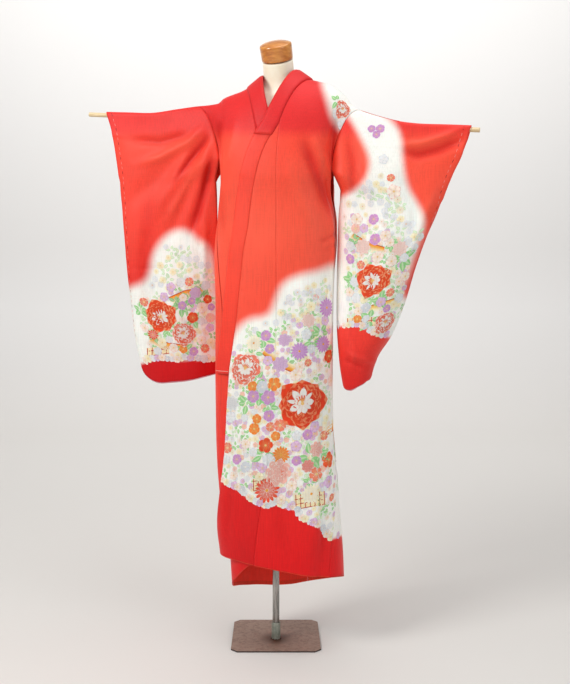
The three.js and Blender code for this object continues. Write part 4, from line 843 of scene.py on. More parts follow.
# Clouds: pieces, face, outline, soft edge in picture units, height of the crisp lower edge, colour.
CLOUDS = [
    # the long cloud of the left front, from the side seam down to the hem's scallops
    (("body_left", "okumi_left"), "f", [(365, 255), (331, 265), (318, 271), (303, 274), (289, 279), (281, 286), (276, 298), (271, 312), (263, 317), (252, 318),
      (243, 323), (235, 332), (229, 345), (200, 352), (195, 480), (218, 478), (228, 485), (240, 490), (250, 500), (262, 506), (268, 508), (275, 503), (284, 507),
      (294, 510), (298, 510), (301, 519), (310, 523), (320, 527), (327, 536), (331, 540), (338, 534), (365, 528)], 7.0, 470, WHITE),
    (("sleeve_right",), "f", [(80, 292), (118, 291), (133, 287), (145, 281), (150, 270), (152, 256), (159, 243), (169, 233), (181, 229), (190, 232), (199, 241), (207, 245),
      (214, 262), (216, 300), (240, 300), (240, 360), (205, 360), (190, 360), (176, 361), (162, 358), (141, 364), (100, 372)], 6.4, 345, WHITE),
    (("body_left",), "f", [(318, 60), (322, 84), (327, 100), (331, 116), (337, 128), (344, 132), (352, 130), (370, 120), (370, 60)], 6.5, 999, WHITE),
    (("sleeve_left",), "f", [(335, 88), (340, 105), (352, 122), (360, 136), (369, 155), (370, 168), (364, 182), (352, 192), (335, 200), (325, 220), (325, 320), (338, 327),
      (352, 325), (364, 326), (374, 334), (388, 337), (396, 338), (404, 318), (424, 306), (424, 299), (403, 299), (402, 290), (409, 271), (416, 250), (424, 228), (424, 216), (417, 202), (408, 188), (403, 166), (402, 140),
      (397, 126), (385, 116), (365, 104), (348, 92)], 5.2, 312, WHITE),
    # the same pattern goes on over the hidden sides
    (("body_left",), "b", [(365, 255), (345, 262), (330, 272), (318, 290), (305, 318), (290, 345), (270, 372), (240, 392), (240, 562), (262, 560), (276, 558), (290, 552),
      (306, 548), (318, 540), (330, 540), (345, 534), (365, 530)], 4.0, 510, WHITE),
    (("body_right",), "b", [(300, 350), (272, 372), (258, 392), (248, 412), (240, 440), (238, 480), (236, 520), (240, 548), (256, 557), (270, 560), (300, 560)], 4.0, 510, WHITE),
    (("body_left",), "b", [(316, 60), (319, 90), (325, 116), (332, 140), (342, 160), (352, 150), (370, 130), (370, 60)], 6.5, 999, WHITE),
    (("sleeve_right",), "b", [(80, 300), (125, 292), (140, 280), (150, 262), (164, 244), (180, 236), (196, 244), (208, 262), (216, 290), (240, 300), (240, 356), (205, 356),
      (180, 362), (160, 358), (141, 366), (100, 372)], 6.4, 345, WHITE),
    (("sleeve_left",), "b", [(335, 92), (352, 122), (372, 150), (374, 180), (362, 206), (335, 226), (325, 240), (325, 320), (345, 326), (366, 330), (386, 336), (402, 326),
      (410, 300), (426, 262), (424, 230), (410, 196), (404, 160), (398, 128), (385, 116), (365, 104), (348, 92)], 5.2, 312, WHITE),
]


def dye(piece, face, kind, P):
    q = picture(P)
    c = ground(piece if piece in GROUND else kind, q)
    for who, f, poly, soft, low, tint in CLOUDS:
        if piece not in who or f != face:
            continue
        d = inside_distance(q, rounded(poly))
        # the lower edge is crisp where flowers close it
        s = mix(soft, 1.25, smooth(low - 12, low, q[..., 1]))
        a = smooth(-s, s, d)[..., None]
        c = mix(c, tint, a)
    # painted shade: the colour is darker and deeper red in the crease troughs; painted highlight: it is paler on the
    # ridges
    d = relief(piece, face, q)
    k, l = np.clip(-d / 10, 0, 1.15), np.clip(d / 10, 0, 1.0)
    red = np.clip((c[..., 0] - c[..., 1]) / np.maximum(c[..., 0], 1e-6), 0, 1)
    down = np.stack([0.20 * k, (0.13 + 0.44 * red) * k, (0.12 + 0.40 * red) * k], -1)
    up = np.stack([0.03 * l, 0.34 * red * l, 0.30 * red * l], -1)
    return np.clip(c * (1 - down) * (1 + up), 0, 1)


# ---------------------------------------------------------------- meshes
def mesh_object(name, verts, faces, colours=None, normals=None, material=None, smooth_shade=True, attrs=None):
    """verts in millimetres; faces a list or an array of triangles or quads."""
    me = bpy.data.meshes.new(name)
    v = np.asarray(verts, np.float32) * MM
    f = np.asarray(faces, np.int32)
    me.vertices.add(len(v))
    me.vertices.foreach_set("co", v.ravel())
    me.loops.add(f.size)
    me.loops.foreach_set("vertex_index", f.ravel())
    me.polygons.add(len(f))
    me.polygons.foreach_set("loop_start", np.arange(len(f), dtype=np.int32) * f.shape[1])
    me.polygons.foreach_set("use_smooth", np.full(len(f), smooth_shade, bool))
    me.update(calc_edges=True)
    if colours is not None:
        a = me.color_attributes.new("dye", "FLOAT_COLOR", "POINT")
        a.data.foreach_set("color", np.concatenate([colours, np.ones((len(v), 1))], 1).astype(np.float32).ravel())
    for k, val in (attrs or {}).items():
        a = me.attributes.new(k, "FLOAT_VECTOR" if np.ndim(val) == 2 else "FLOAT", "POINT")
        a.data.foreach_set("vector" if np.ndim(val) == 2 else "value", np.asarray(val, np.float32).ravel())
    me.validate()
    if normals is not None:
        me.normals_split_custom_set_from_vertices([tuple(n) for n in normals])
    o = bpy.data.objects.new(name, me)
    bpy.context.collection.objects.link(o)
    for m in ([material] if material and not isinstance(material, (list, tuple)) else material or []):
        me.materials.append(m)
    return o


def quads(ny, nx, base=0, flip=False):
    j, i = np.meshgrid(np.arange(ny - 1), np.arange(nx - 1), indexing="ij")
    a = base + j * nx + i
    f = np.stack([a, a + 1, a + nx + 1, a + nx], -1).reshape(-1, 4)
    return f[:, ::-1] if flip else f


# ---------------------------------------------------------------- motifs, drawn flat in millimetres
class Ink:
    """Flat coloured patches gathered with their layer."""

    def __init__(self):
        self.v, self.c, self.f, self.k, self.n = [], [], [], [], 0

    def grid(self, pts, cols, layer):
        ny, nx = pts.shape[:2]
        self.v.append(pts.reshape(-1, 2))
        self.c.append(cols.reshape(-1, 3))
        self.f.append(quads(ny, nx, self.n))
        self.k.append(np.full(ny * nx, float(layer)))
        self.n += ny * nx


RED = colour(226, 44, 22)
VERMILION = colour(240, 78, 34)
ORANGE = colour(246, 128, 52)
CORAL = colour(240, 126, 104)
PINK = colour(248, 190, 180)
PALE = colour(252, 236, 226)
CREAM = colour(252, 240, 208)
GOLD = colour(246, 172, 66)
YELLOW = colour(250, 214, 130)
PURPLE = colour(204, 144, 206)
LILAC = colour(228, 192, 228)
GREEN = colour(104, 190, 100)
LEAF = colour(160, 218, 146)
MOSS = colour(132, 176, 96)
GREY = colour(212, 216, 224)
MIST = colour(234, 234, 236)
BLACK = colour(30, 22, 30)
WINE = colour(170, 24, 26)


def petal(ink, x, y, angle, length, width, root, tip, rim, layer, notch=0.0, rise=1.45, steps=6, curl=0.0):
    """A petal from (x, y) outwards: root to tip colour along it, rim colour round its edge."""
    if length < 14:
        s = np.array([0.02, 0.34, 0.66, 0.9, 1.0])
        t = np.array([-1, -0.74, 0.74, 1])
    elif length < 24:
        s = np.array([0.02, 0.3, 0.62, 0.86, 0.93, 1.0])
        t = np.array([-1, -0.78, 0, 0.78, 1])
    else:
        s = np.concatenate([[0.02], np.linspace(0.14, 0.88, steps), [0.95, 1.0]])
        t = np.array([-1, -0.87, -0.81, -0.4, 0, 0.4, 0.81, 0.87, 1])
    S, T = np.meshgrid(s, t, indexing="ij")
    w = np.sin(np.pi * np.clip(S, 0, 1) ** rise) ** 0.55 * width / 2 + 0.04 * width * (1 - S)
    long = S * length * (1 - notch * np.exp(-((T / 0.25) ** 2)) * S ** 3)
    long = long * (1 - 0.12 * T ** 2 * S)
    px = long
    py = T * w + curl * length * S ** 2
    ca, sa = math.cos(angle), math.sin(angle)
    P = np.stack([x + px * ca - py * sa, y + px * sa + py * ca], -1)
    C = mix(root, tip, smooth(0.1, 0.8, S)[..., None])
    edge = (np.abs(T) > 0.84) | (S > 0.92)
    C = np.where(edge[..., None], rim, C)
    ink.grid(P, C, layer)


def disc(ink, x, y, r, centre, rim, layer, n=10, ry=None):
    a = np.linspace(0, 2 * np.pi, n + 1)
    rr = np.array([0.02, 0.5, 0.8, 0.86, 1.0])
    R, A = np.meshgrid(rr, a, indexing="ij")
    P = np.stack([x + r * R * np.cos(A), y + (ry or r) * R * np.sin(A)], -1)
    C = np.where((R > 0.83)[..., None], rim, centre)
    ink.grid(P, C, layer)


def peony(ink, x, y, r, main, heart, rim, layer, turn=0.0, squash=1.0):
    """Ruffled outer petals, a pale open heart and stamens."""
    deep = main * 0.78
    for ring, (n, l, w) in enumerate([(8, 1.0, 0.86), (7, 0.80, 0.78), (5, 0.60, 0.72)]):
        for i in range(n):
            a = turn + ring * 0.4 + 2 * math.pi * i / n
            k = 1 + 0.09 * math.sin(2.6 * i + ring * 1.7 + 3 * turn)
            tip = mix(main, VERMILION if ring == 1 else main, 0.5)
            petal(ink, x, y, a, r * l * k, r * w * (1 + 0.12 * math.cos(2.3 * i)), deep, tip, rim, layer + ring * 0.5 + 0.25 * (i % 2), notch=0.14, steps=5)
    # the heart leans to one side: long pale petals with gaps between
    lean = turn + 0.6
    for i in range(9):
        a = lean + 2 * math.pi * i / 9
        l = 0.66 - 0.26 * (1 - math.cos(a - lean)) / 2
        petal(ink, x, y, a, r * l, r * (0.15 if i % 2 else 0.26), mix(heart, main, 0.05), heart, mix(heart, main, 0.35), layer + 1.7 + 0.2 * (i % 2), notch=0.06)
    petal(ink, x - 0.1 * r * math.cos(lean), y - 0.1 * r * math.sin(lean), lean, r * 0.5, r * 0.44, mix(heart, YELLOW, 0.15), heart, mix(heart, main, 0.3), layer + 2.1, notch=0.16)
    for i in range(6):
        a = lean - 0.9 + i * 0.36
        petal(ink, x, y, a, r * 0.34, r * 0.07, YELLOW, main, main, layer + 2.4, steps=3)
    disc(ink, x, y, r * 0.06, YELLOW, ORANGE, layer + 2.6, 8)


def rose(ink, x, y, r, main, light, layer, turn=0.0):
    """Close whorls of overlapping petals with pale rims."""
    for ring, (n, l, w) in enumerate([(8, 1.0, 0.62), (7, 0.80, 0.58), (6, 0.60, 0.5), (5, 0.40, 0.42), (3, 0.22, 0.3)]):
        for i in range(n):
            a = turn + ring * 0.6 + 2 * math.pi * i / n
            petal(ink, x, y, a, r * l, r * w, mix(main, light, 0.1 * ring), mix(main, light, 0.45), light, layer + ring * 0.45 + 0.2 * (i % 2), notch=0.08, steps=4)


def daisy(ink, x, y, r, main, light, heart, layer, turn=0.0, n=16):
    """Chrysanthemum: narrow petals in two rings round a small heart."""
    for ring, l in enumerate((1.0, 0.68)):
        for i in range(n):
            a = turn + (i + 0.5 * ring) * 2 * math.pi / n
            petal(ink, x, y, a, r * l * (1 + 0.05 * math.sin(2.3 * i)), r * 0.34 * l, mix(main, light, 0.3), main if ring == 0 else mix(main, light, 0.2), light, layer + ring * 0.5 + 0.2 * (i % 2), steps=3, rise=1.1)
    disc(ink, x, y, r * 0.15, heart, light, layer + 1.1, 8)


def blossom(ink, x, y, r, main, rim, heart, layer, turn=0.0, n=5, notch=0.14):
    """Five round petals and a heart with stamens."""
    for i in range(n):
        petal(ink, x, y, turn + 2 * math.pi * i / n, r, r * (0.98 if n == 5 else 0.8), mix(main, heart, 0.25), main, rim, layer + 0.2 * (i % 2), notch=notch, steps=3)
    disc(ink, x, y, r * 0.17, heart, rim, layer + 0.7, 7)


def leaf(ink, x, y, angle, length, width, dark, light, layer):
    """Pointed leaf, darker by the midrib."""
    s = np.linspace(0, 1, 7)
    t = np.array([-1, -0.5, -0.06, 0.06, 0.5, 1])
    S, T = np.meshgrid(s, t, indexing="ij")
    w = np.sin(np.pi * np.clip(S, 0, 1) ** 0.8) ** 0.85 * width / 2 + 0.05
    px, py = S * length, T * w + 0.10 * length * S * (1 - S)
    ca, sa = math.cos(angle), math.sin(angle)
    P = np.stack([x + px * ca - py * sa, y + px * sa + py * ca], -1)
    C = mix(dark, light, np.clip(np.abs(T) * 0.9 + 0.25 * S, 0, 1)[..., None])
    C = np.where((np.abs(T) < 0.1)[..., None], mix(light, PALE, 0.4), C)
    ink.grid(P, C, layer)


def spray(ink, x, y, r, layer, turn=0.0, dark=GREEN, light=LEAF, n=5):
    r = 1.32 * r
    for i in range(n):
        a = turn + 2 * math.pi * i / n + 0.3 * math.sin(1.9 * i)
        leaf(ink, x + 0.2 * r * math.cos(a), y + 0.2 * r * math.sin(a), a, r * (0.85 + 0.2 * math.sin(2.7 * i)), r * 0.52, dark, light, layer + 0.1 * (i % 3))


def ribbon(ink, pts, widths, colours, layer, lines=True):
    """Band along points; colours run across from its upper edge to its lower one."""
    pts = np.array(pts, float)
    seg = np.concatenate([[0], np.cumsum(np.linalg.norm(np.diff(pts, axis=0), axis=1))])
    n = max(int(seg[-1] / 6), 2)
    s = np.linspace(0, seg[-1], n + 1)
    k = np.stack([np.interp(s, seg, pts[:, i]) for i in range(2)], -1)
    d = unit(np.gradient(k, axis=0))
    nrm = np.stack([-d[:, 1], d[:, 0]], -1)
    w = np.interp(s, seg, np.array(widths, float) * np.ones(len(pts)))
    across = np.linspace(0, 1, len(colours))
    P = k[:, None] + nrm[:, None] * ((0.5 - across)[None, :] * w[:, None])[..., None]
    C = np.broadcast_to(np.array(colours)[None], P.shape[:2] + (3,))
    ink.grid(P, np.array(C), layer)
    if lines:
        for at, col, th in ((0, WINE, 1.8),):
            e = k + nrm * ((0.5 - at) * w)[:, None]
            Q = np.stack([e + nrm * th, e], 1)
            ink.grid(Q, np.broadcast_to(col, Q.shape[:2] + (3,)).copy(), layer + 0.1)


def line(ink, pts, width, col, layer):
    pts = np.array(pts, float)
    seg = np.concatenate([[0], np.cumsum(np.linalg.norm(np.diff(pts, axis=0), axis=1))])
    n = max(int(seg[-1] / 7), 1)
    s = np.linspace(0, seg[-1], n + 1)
    k = np.stack([np.interp(s, seg, pts[:, i]) for i in range(2)], -1)
    d = unit(np.gradient(k, axis=0)) if n > 0 else pts
    nrm = np.stack([-d[:, 1], d[:, 0]], -1)
    Q = np.stack([k + nrm * width / 2, k - nrm * width / 2], 1)
    ink.grid(Q, np.broadcast_to(col, Q.shape[:2] + (3,)).copy(), layer)


def lattice(ink, x, y, w, h, turn, layer, pitch=15.0):
    """Crossed bars on a cream ground."""
    ca, sa = math.cos(turn), math.sin(turn)
    place = lambda p: [(x + a * ca - b * sa, y + a * sa + b * ca) for a, b in p]
    u, v = np.meshgrid(np.linspace(-w / 2, w / 2, int(w / 6) + 2), np.linspace(-h / 2, h / 2, int(h / 6) + 2))
    P = np.stack([x + u * ca - v * sa, y + u * sa + v * ca], -1)
    ink.grid(P, np.broadcast_to(mix(CREAM, YELLOW, 0.35), P.shape[:2] + (3,)).copy(), layer)
    for i in range(int(w / pitch) + 1):
        a = -w / 2 + i * pitch
        line(ink, place([(a, -h / 2), (a + h * 0.12, h / 2)]), 2.3, colour(196, 46, 34), layer + 0.3)
    for i in range(int(h / pitch) + 1):
        b = -h / 2 + i * pitch
        line(ink, place([(-w / 2, b), (w / 2, b + w * 0.03)]), 2.3, colour(196, 46, 34), layer + 0.35)


# ---------------------------------------------------------------- laying the pattern on the cloth
class Chart:
    """A cloth grid read at fractional places, with the size of a step there."""

    def __init__(self, P, N):
        self.P, self.N = P, N
        self.q = picture(P)
        self.shape = P.shape[:2]

    def find(self, px, py):
        """Fractional place nearest to a picture place."""
        d = (self.q[..., 0] - px) ** 2 + (self.q[..., 1] - py) ** 2
        j, i = np.unravel_index(np.argmin(d), d.shape)
        return float(j), float(i), math.sqrt(float(d[j, i]))

    def frame(self, j, i):
        """Steps along rows and columns in millimetres near a place."""
        j0, i0 = int(np.clip(j, 1, self.shape[0] - 2)), int(np.clip(i, 1, self.shape[1] - 2))
        dj = (self.P[j0 + 1, i0] - self.P[j0 - 1, i0]) / 2
        di = (self.P[j0, i0 + 1] - self.P[j0, i0 - 1]) / 2
        return max(float(np.linalg.norm(dj)), 0.5), max(float(np.linalg.norm(di)), 0.5)

    def read(self, J, I):
        ny, nx = self.shape
        J, I = np.clip(J, 0, ny - 1.0001), np.clip(I, 0, nx - 1.0001)
        j, i = J.astype(int), I.astype(int)
        a, b = (J - j)[:, None], (I - i)[:, None]
        out = []
        for G in (self.P, self.N):
            out.append(G[j, i] * (1 - a) * (1 - b) + G[j + 1, i] * a * (1 - b) + G[j, i + 1] * (1 - a) * b + G[j + 1, i + 1] * a * b)
        return out[0], unit(out[1])


def lay(ink, chart, j, i, flip, skin, out, at=None):
    """Lays flat ink, x to the picture's right and y up, on a chart about a place."""
    sj, si = chart.frame(j, i)
    V = np.concatenate(ink.v)
    C = np.concatenate(ink.c)
    F = np.concatenate(ink.f)
    K = np.concatenate(ink.k)
    # walk in steps so that a large motif follows the cloth's own measure
    if at is None:
        I = i + flip * V[:, 0] / si
        J = j - V[:, 1] / sj
    else:
        JI = np.array([place(chart, at[0] + x / PX, at[1] - y / PX)[:2] for x, y in V])
        J, I = JI[:, 0], JI[:, 1]
    ny, nx = chart.shape
    inside = (I > -0.001) & (I < nx - 1) & (J > -0.001) & (J < ny - 1)
    keep = inside[F].any(1)
    F = F[keep]
    if not len(F):
        return
    used = np.unique(F)
    remap = np.zeros(len(V), int)
    remap[used] = np.arange(len(used))
    P, N = chart.read(J[used], I[used])
    P = P + N * (skin + 0.42 + 0.075 * K[used])[:, None]
    F = remap[F]
    # drop faces squeezed flat at an edge
    a = np.linalg.norm(np.cross(P[F[:, 2]] - P[F[:, 0]], P[F[:, 3]] - P[F[:, 1]]), axis=1)
    F = F[a > 0.05]
    # face the way the cloth does
    nf = np.cross(P[F[:, 2]] - P[F[:, 0]], P[F[:, 3]] - P[F[:, 1]])
    back = (nf * N[F[:, 0]]).sum(1) < 0
    F[back] = F[back][:, ::-1]
    out["v"].append(P)
    out["n"].append(N)
    out["c"].append(C[used])
    out["f"].append(F + out["count"])
    out["count"] += len(used)


# ---------------------------------------------------------------- materials
def new_material(name):
    m = bpy.data.materials.new(name)
    m.use_nodes = True
    t = m.node_tree
    return m, t.nodes, t.links, t.nodes["Principled BSDF"]


def noise(nodes, links, scale, detail=2.0, vector=None, stretch=None, rough=0.5):
    n = nodes.new("ShaderNodeTexNoise")
    n.inputs["Scale"].default_value = scale
    n.inputs["Detail"].default_value = detail
    n.inputs["Roughness"].default_value = rough
    src = vector
    if stretch:
        mp = nodes.new("ShaderNodeMapping")
        mp.inputs["Scale"].default_value = stretch
        links.new(vector, mp.inputs["Vector"])
        src = mp.outputs["Vector"]
    if src is not None:
        links.new(src, n.inputs["Vector"])
    return n


def ramp(nodes, links, src, stops):
    r = nodes.new("ShaderNodeValToRGB")
    e = r.color_ramp.elements
    while len(e) < len(stops):
        e.new(0.5)
    for i, (p, c) in enumerate(stops):
        e[i].position = p
        e[i].color = (*c, 1) if len(c) == 3 else c
    links.new(src, r.inputs["Fac"])
    return r


def silk(name, plain=None, print_layer=False):
    """Soft woven silk: coloured by the mesh's own colours (on the cloth, the dye with painted crease shade and
    highlight), with thread lines, nap and a low sheen.
    """
    m, nodes, links, b = new_material(name)
    co = nodes.new("ShaderNodeTexCoord").outputs["Object"]
    # the cloth's vertex colours hold painted shade in crease troughs and painted highlight on ridges
    if plain is None:
        base = nodes.new("ShaderNodeVertexColor")
        base.layer_name = "dye"
        src = base.outputs["Color"]
    else:
        rgb = nodes.new("ShaderNodeRGB")
        rgb.outputs[0].default_value = (*plain, 1)
        src = rgb.outputs[0]
    # broad unevenness of the dye, and fine upright threads
    broad = noise(nodes, links, 5.0, 2.0, co)
    lines = noise(nodes, links, 60.0, 3.0, co, (9.0, 9.0, 0.25))
    slub = noise(nodes, links, 90.0, 2.0, co, (0.35, 0.35, 6.0))
    mixes = src
    for tex, lo, hi in ((broad, 0.93, 1.07), (lines, 0.91, 1.07), (slub, 0.965, 1.03)):
        r = ramp(nodes, links, tex.outputs["Fac"], [(0.3, (lo,) * 3), (0.7, (hi,) * 3)])
        mm = nodes.new("ShaderNodeMix")
        mm.data_type = "RGBA"
        mm.blend_type = "MULTIPLY"
        mm.inputs["Factor"].default_value = 1.0
        links.new(mixes, mm.inputs["A"])
        links.new(r.outputs["Color"], mm.inputs["B"])
        mixes = mm.outputs["Result"]
    links.new(mixes, b.inputs["Base Color"])
    b.inputs["Roughness"].default_value = 0.50
    b.inputs["IOR"].default_value = 1.45
    b.inputs["Specular IOR Level"].default_value = 0.26
    b.inputs["Sheen Weight"].default_value = 0.04
    b.inputs["Subsurface Weight"].default_value = 0.22
    b.inputs["Subsurface Radius"].default_value = (1.0, 0.35, 0.28)
    b.inputs["Subsurface Scale"].default_value = 0.006
    b.inputs["Sheen Roughness"].default_value = 0.45
    b.inputs["Sheen Tint"].default_value = (1.0, 0.86, 0.80, 1)
    # weave and crepe
    wv = nodes.new("ShaderNodeTexWave")
    wv.wave_type = "BANDS"
    wv.bands_direction = "Z"
    wv.inputs["Scale"].default_value = 260.0
    wv.inputs["Distortion"].default_value = 1.2
    wv.inputs["Detail"].default_value = 1.0
    links.new(co, wv.inputs["Vector"])
    crepe = noise(nodes, links, 420.0, 2.0, co)
    soft = noise(nodes, links, 14.0, 2.0, co, (1.0, 1.0, 0.55))
    add1 = nodes.new("ShaderNodeMath")
    add1.operation = "MULTIPLY_ADD"
    links.new(wv.outputs["Fac"], add1.inputs[0])
    add1.inputs[1].default_value = 0.25
    links.new(crepe.outputs["Fac"], add1.inputs[2])
    bump = nodes.new("ShaderNodeBump")
    bump.inputs["Strength"].default_value = 0.16
    bump.inputs["Distance"].default_value = 0.0006
    links.new(add1.outputs[0], bump.inputs["Height"])
    bump2 = nodes.new("ShaderNodeBump")
    bump2.inputs["Strength"].default_value = 0.30
    bump2.inputs["Distance"].default_value = 0.010
    links.new(soft.outputs["Fac"], bump2.inputs["Height"])
    links.new(bump.outputs["Normal"], bump2.inputs["Normal"])
    links.new(bump2.outputs["Normal"], b.inputs["Normal"])
    return m


# the cloth's material: its colours include painted crease shade and painted highlight
SILK = silk("silk_dyed")
SILK_PRINT = silk("silk_pattern")
# painted light: the inside faces get a red brighter than the silk's own, standing in for light in the shaded inside of
# the hem and sleeves
SILK_INSIDE_PAINTED_LIGHT = silk("silk_inside", plain=colour(252, 58, 40))
THREAD = silk("thread_pale", plain=colour(236, 196, 196))
THREAD_DARK = silk("thread_dark", plain=colour(150, 22, 34))
PIPING = silk("piping", plain=colour(226, 190, 204))


def linen():
    m, nodes, links, b = new_material("form_linen")
    co = nodes.new("ShaderNodeTexCoord").outputs["Object"]
    n = noise(nodes, links, 30.0, 4.0, co)
    r = ramp(nodes, links, n.outputs["Fac"], [(0.3, tuple(colour(250, 240, 214))), (0.7, tuple(colour(255, 250, 232)))])
    links.new(r.outputs["Color"], b.inputs["Base Color"])
    b.inputs["Roughness"].default_value = 0.85
    b.inputs["Sheen Weight"].default_value = 0.15
    w = noise(nodes, links, 700.0, 2.0, co)
    bump = nodes.new("ShaderNodeBump")
    bump.inputs["Strength"].default_value = 0.3
    bump.inputs["Distance"].default_value = 0.0006
    links.new(w.outputs["Fac"], bump.inputs["Height"])
    links.new(bump.outputs["Normal"], b.inputs["Normal"])
    return m


def wood(name, dark, mid, light, rough, coat, stretch, scale=1.0):
    m, nodes, links, b = new_material(name)
    co = nodes.new("ShaderNodeTexCoord").outputs["Object"]
    n = noise(nodes, links, 30.0 * scale, 5.0, co, stretch, 0.6)
    r = ramp(nodes, links, n.outputs["Fac"], [(0.30, tuple(dark)), (0.5, tuple(mid)), (0.68, tuple(light))])
    links.new(r.outputs["Color"], b.inputs["Base Color"])
    b.inputs["Roughness"].default_value = rough
    b.inputs["Coat Weight"].default_value = coat
    b.inputs["Coat Roughness"].default_value = 0.08
    bump = nodes.new("ShaderNodeBump")
    bump.inputs["Strength"].default_value = 0.12
    bump.inputs["Distance"].default_value = 0.0006
    links.new(n.outputs["Fac"], bump.inputs["Height"])
    links.new(bump.outputs["Normal"], b.inputs["Normal"])
    return m


def metal(name, dark, light, rough_lo, rough_hi, metallic, scale, stretch=None, bump_mm=0.2):
    m, nodes, links, b = new_material(name)
    co = nodes.new("ShaderNodeTexCoord").outputs["Object"]
    n = noise(nodes, links, scale, 6.0, co, stretch or (1, 1, 1), 0.65)
    r = ramp(nodes, links, n.outputs["Fac"], [(0.32, tuple(dark)), (0.68, tuple(light))])
    links.new(r.outputs["Color"], b.inputs["Base Color"])
    rr = nodes.new("ShaderNodeMapRange")
    rr.inputs["To Min"].default_value = rough_lo
    rr.inputs["To Max"].default_value = rough_hi
    links.new(n.outputs["Fac"], rr.inputs["Value"])
    links.new(rr.outputs["Result"], b.inputs["Roughness"])
    b.inputs["Metallic"].default_value = metallic
    bump = nodes.new("ShaderNodeBump")
    bump.inputs["Strength"].default_value = 0.25
    bump.inputs["Distance"].default_value = bump_mm * MM
    links.new(n.outputs["Fac"], bump.inputs["Height"])
    links.new(bump.outputs["Normal"], b.inputs["Normal"])
    return m


LINEN = linen()
CAP_WOOD = wood("cap_wood", colour(176, 98, 30), colour(206, 130, 48), colour(226, 156, 70), 0.28, 0.7, (1, 1, 4.0), 0.8)
ROD_WOOD = wood("rod_wood", colour(196, 164, 116), colour(222, 196, 152), colour(238, 218, 180), 0.6, 0.05, (0.25, 3, 3), 1.6)
STEEL = metal("pole_steel", colour(118, 117, 114), colour(184, 182, 178), 0.20, 0.34, 1.0, 40, (3, 3, 0.3), 0.05)
SOCKET_STEEL = metal("socket_steel", colour(122, 128, 118), colour(168, 172, 160), 0.45, 0.62, 0.7, 60)
WELD = metal("weld_steel", colour(46, 30, 24), colour(92, 62, 46), 0.6, 0.8, 0.3, 180, None, 0.6)


def plate_material():
    m, nodes, links, b = new_material("plate_rust")
    co = nodes.new("ShaderNodeTexCoord").outputs["Object"]
    n = noise(nodes, links, 74.0, 9.0, co, None, 0.72)
    r = ramp(nodes, links, n.outputs["Fac"], [(0.26, tuple(colour(106, 80, 66))), (0.45, tuple(colour(140, 111, 97))), (0.6, tuple(colour(156, 129, 114))), (0.78, tuple(colour(124, 90, 70)))])
    # rust gathers about the foot of the socket
    near = nodes.new("ShaderNodeVectorMath")
    near.operation = "LENGTH"
    links.new(co, near.inputs[0])
    spread = nodes.new("ShaderNodeMath")
    spread.operation = "MULTIPLY_ADD"
    links.new(n.outputs["Fac"], spread.inputs[0])
    spread.inputs[1].default_value = -0.045
    links.new(near.outputs["Value"], spread.inputs[2])
    rust = ramp(nodes, links, spread.outputs[0], [(0.0, (1, 1, 1)), (0.008, (0.8, 0.8, 0.8)), (0.035, (0.12, 0.12, 0.12)), (0.06, (0, 0, 0))])
    mx = nodes.new("ShaderNodeMix")
    mx.data_type = "RGBA"
    links.new(rust.outputs["Color"], mx.inputs["Factor"])
    links.new(r.outputs["Color"], mx.inputs["A"])
    mx.inputs["B"].default_value = (*colour(88, 54, 38), 1)
    links.new(mx.outputs["Result"], b.inputs["Base Color"])
    b.inputs["Roughness"].default_value = 0.62
    b.inputs["Metallic"].default_value = 0.25
    bump = nodes.new("ShaderNodeBump")
    bump.inputs["Strength"].default_value = 0.3
    bump.inputs["Distance"].default_value = 0.0005
    links.new(n.outputs["Fac"], bump.inputs["Height"])
    links.new(bump.outputs["Normal"], b.inputs["Normal"])
    return m


def plate_edge():
    m, nodes, links, b = new_material("plate_edge")
    b.inputs["Base Color"].default_value = (*colour(62, 52, 54), 1)
    b.inputs["Roughness"].default_value = 0.55
    b.inputs["Metallic"].default_value = 0.4
    return m


PLATE_EDGE = plate_edge()
PLATE_MAT = plate_material()


# ---------------------------------------------------------------- the cloth pieces
CLOTH_WALL = 1.3
SKIN = CLOTH_WALL / 2
PIECES, CHARTS = {}, {}


def outward_sign(N, P, face):
    want = np.array([0, -1.0 if face == "f" else 1.0, 0])
    return 1.0 if (N.reshape(-1, 3) @ want).sum() > 0 else -1.0


def add_thickness(o, thick=CLOTH_WALL):
    # the inside faces take the brightened red: painted light
    o.data.materials.append(SILK_INSIDE_PAINTED_LIGHT)
    m = o.modifiers.new("wall", "SOLIDIFY")
    m.thickness = thick * MM
    m.offset = 0.0
    m.use_even_offset = False
    m.material_offset = 1
    m.material_offset_rim = 0
    bpy.context.view_layer.update()
    dg = bpy.context.evaluated_depsgraph_get()
    me = bpy.data.meshes.new_from_object(o.evaluated_get(dg))
    old = o.data
    o.modifiers.clear()
    o.data = me
    me.name = o.name
    bpy.data.meshes.remove(old)


def put_cloth(name, verts, faces, cols):
    o = mesh_object(name, verts, faces, cols, None, SILK)
    add_thickness(o)
    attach(o, "root")
    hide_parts(name)
    PIECES[name] = o
    return o


def face_grid(P, face):
    N = normals_of(P)
    if outward_sign(N, P, face) < 0:
        N = -N
    return N


def orient_faces(V, F, N):
    nf = np.cross(V[F[:, 2]] - V[F[:, 0]], V[F[:, 3]] - V[F[:, 1]])
    if (nf * N[F[:, 0]]).sum() < 0:
        F = F[:, ::-1]
    return F


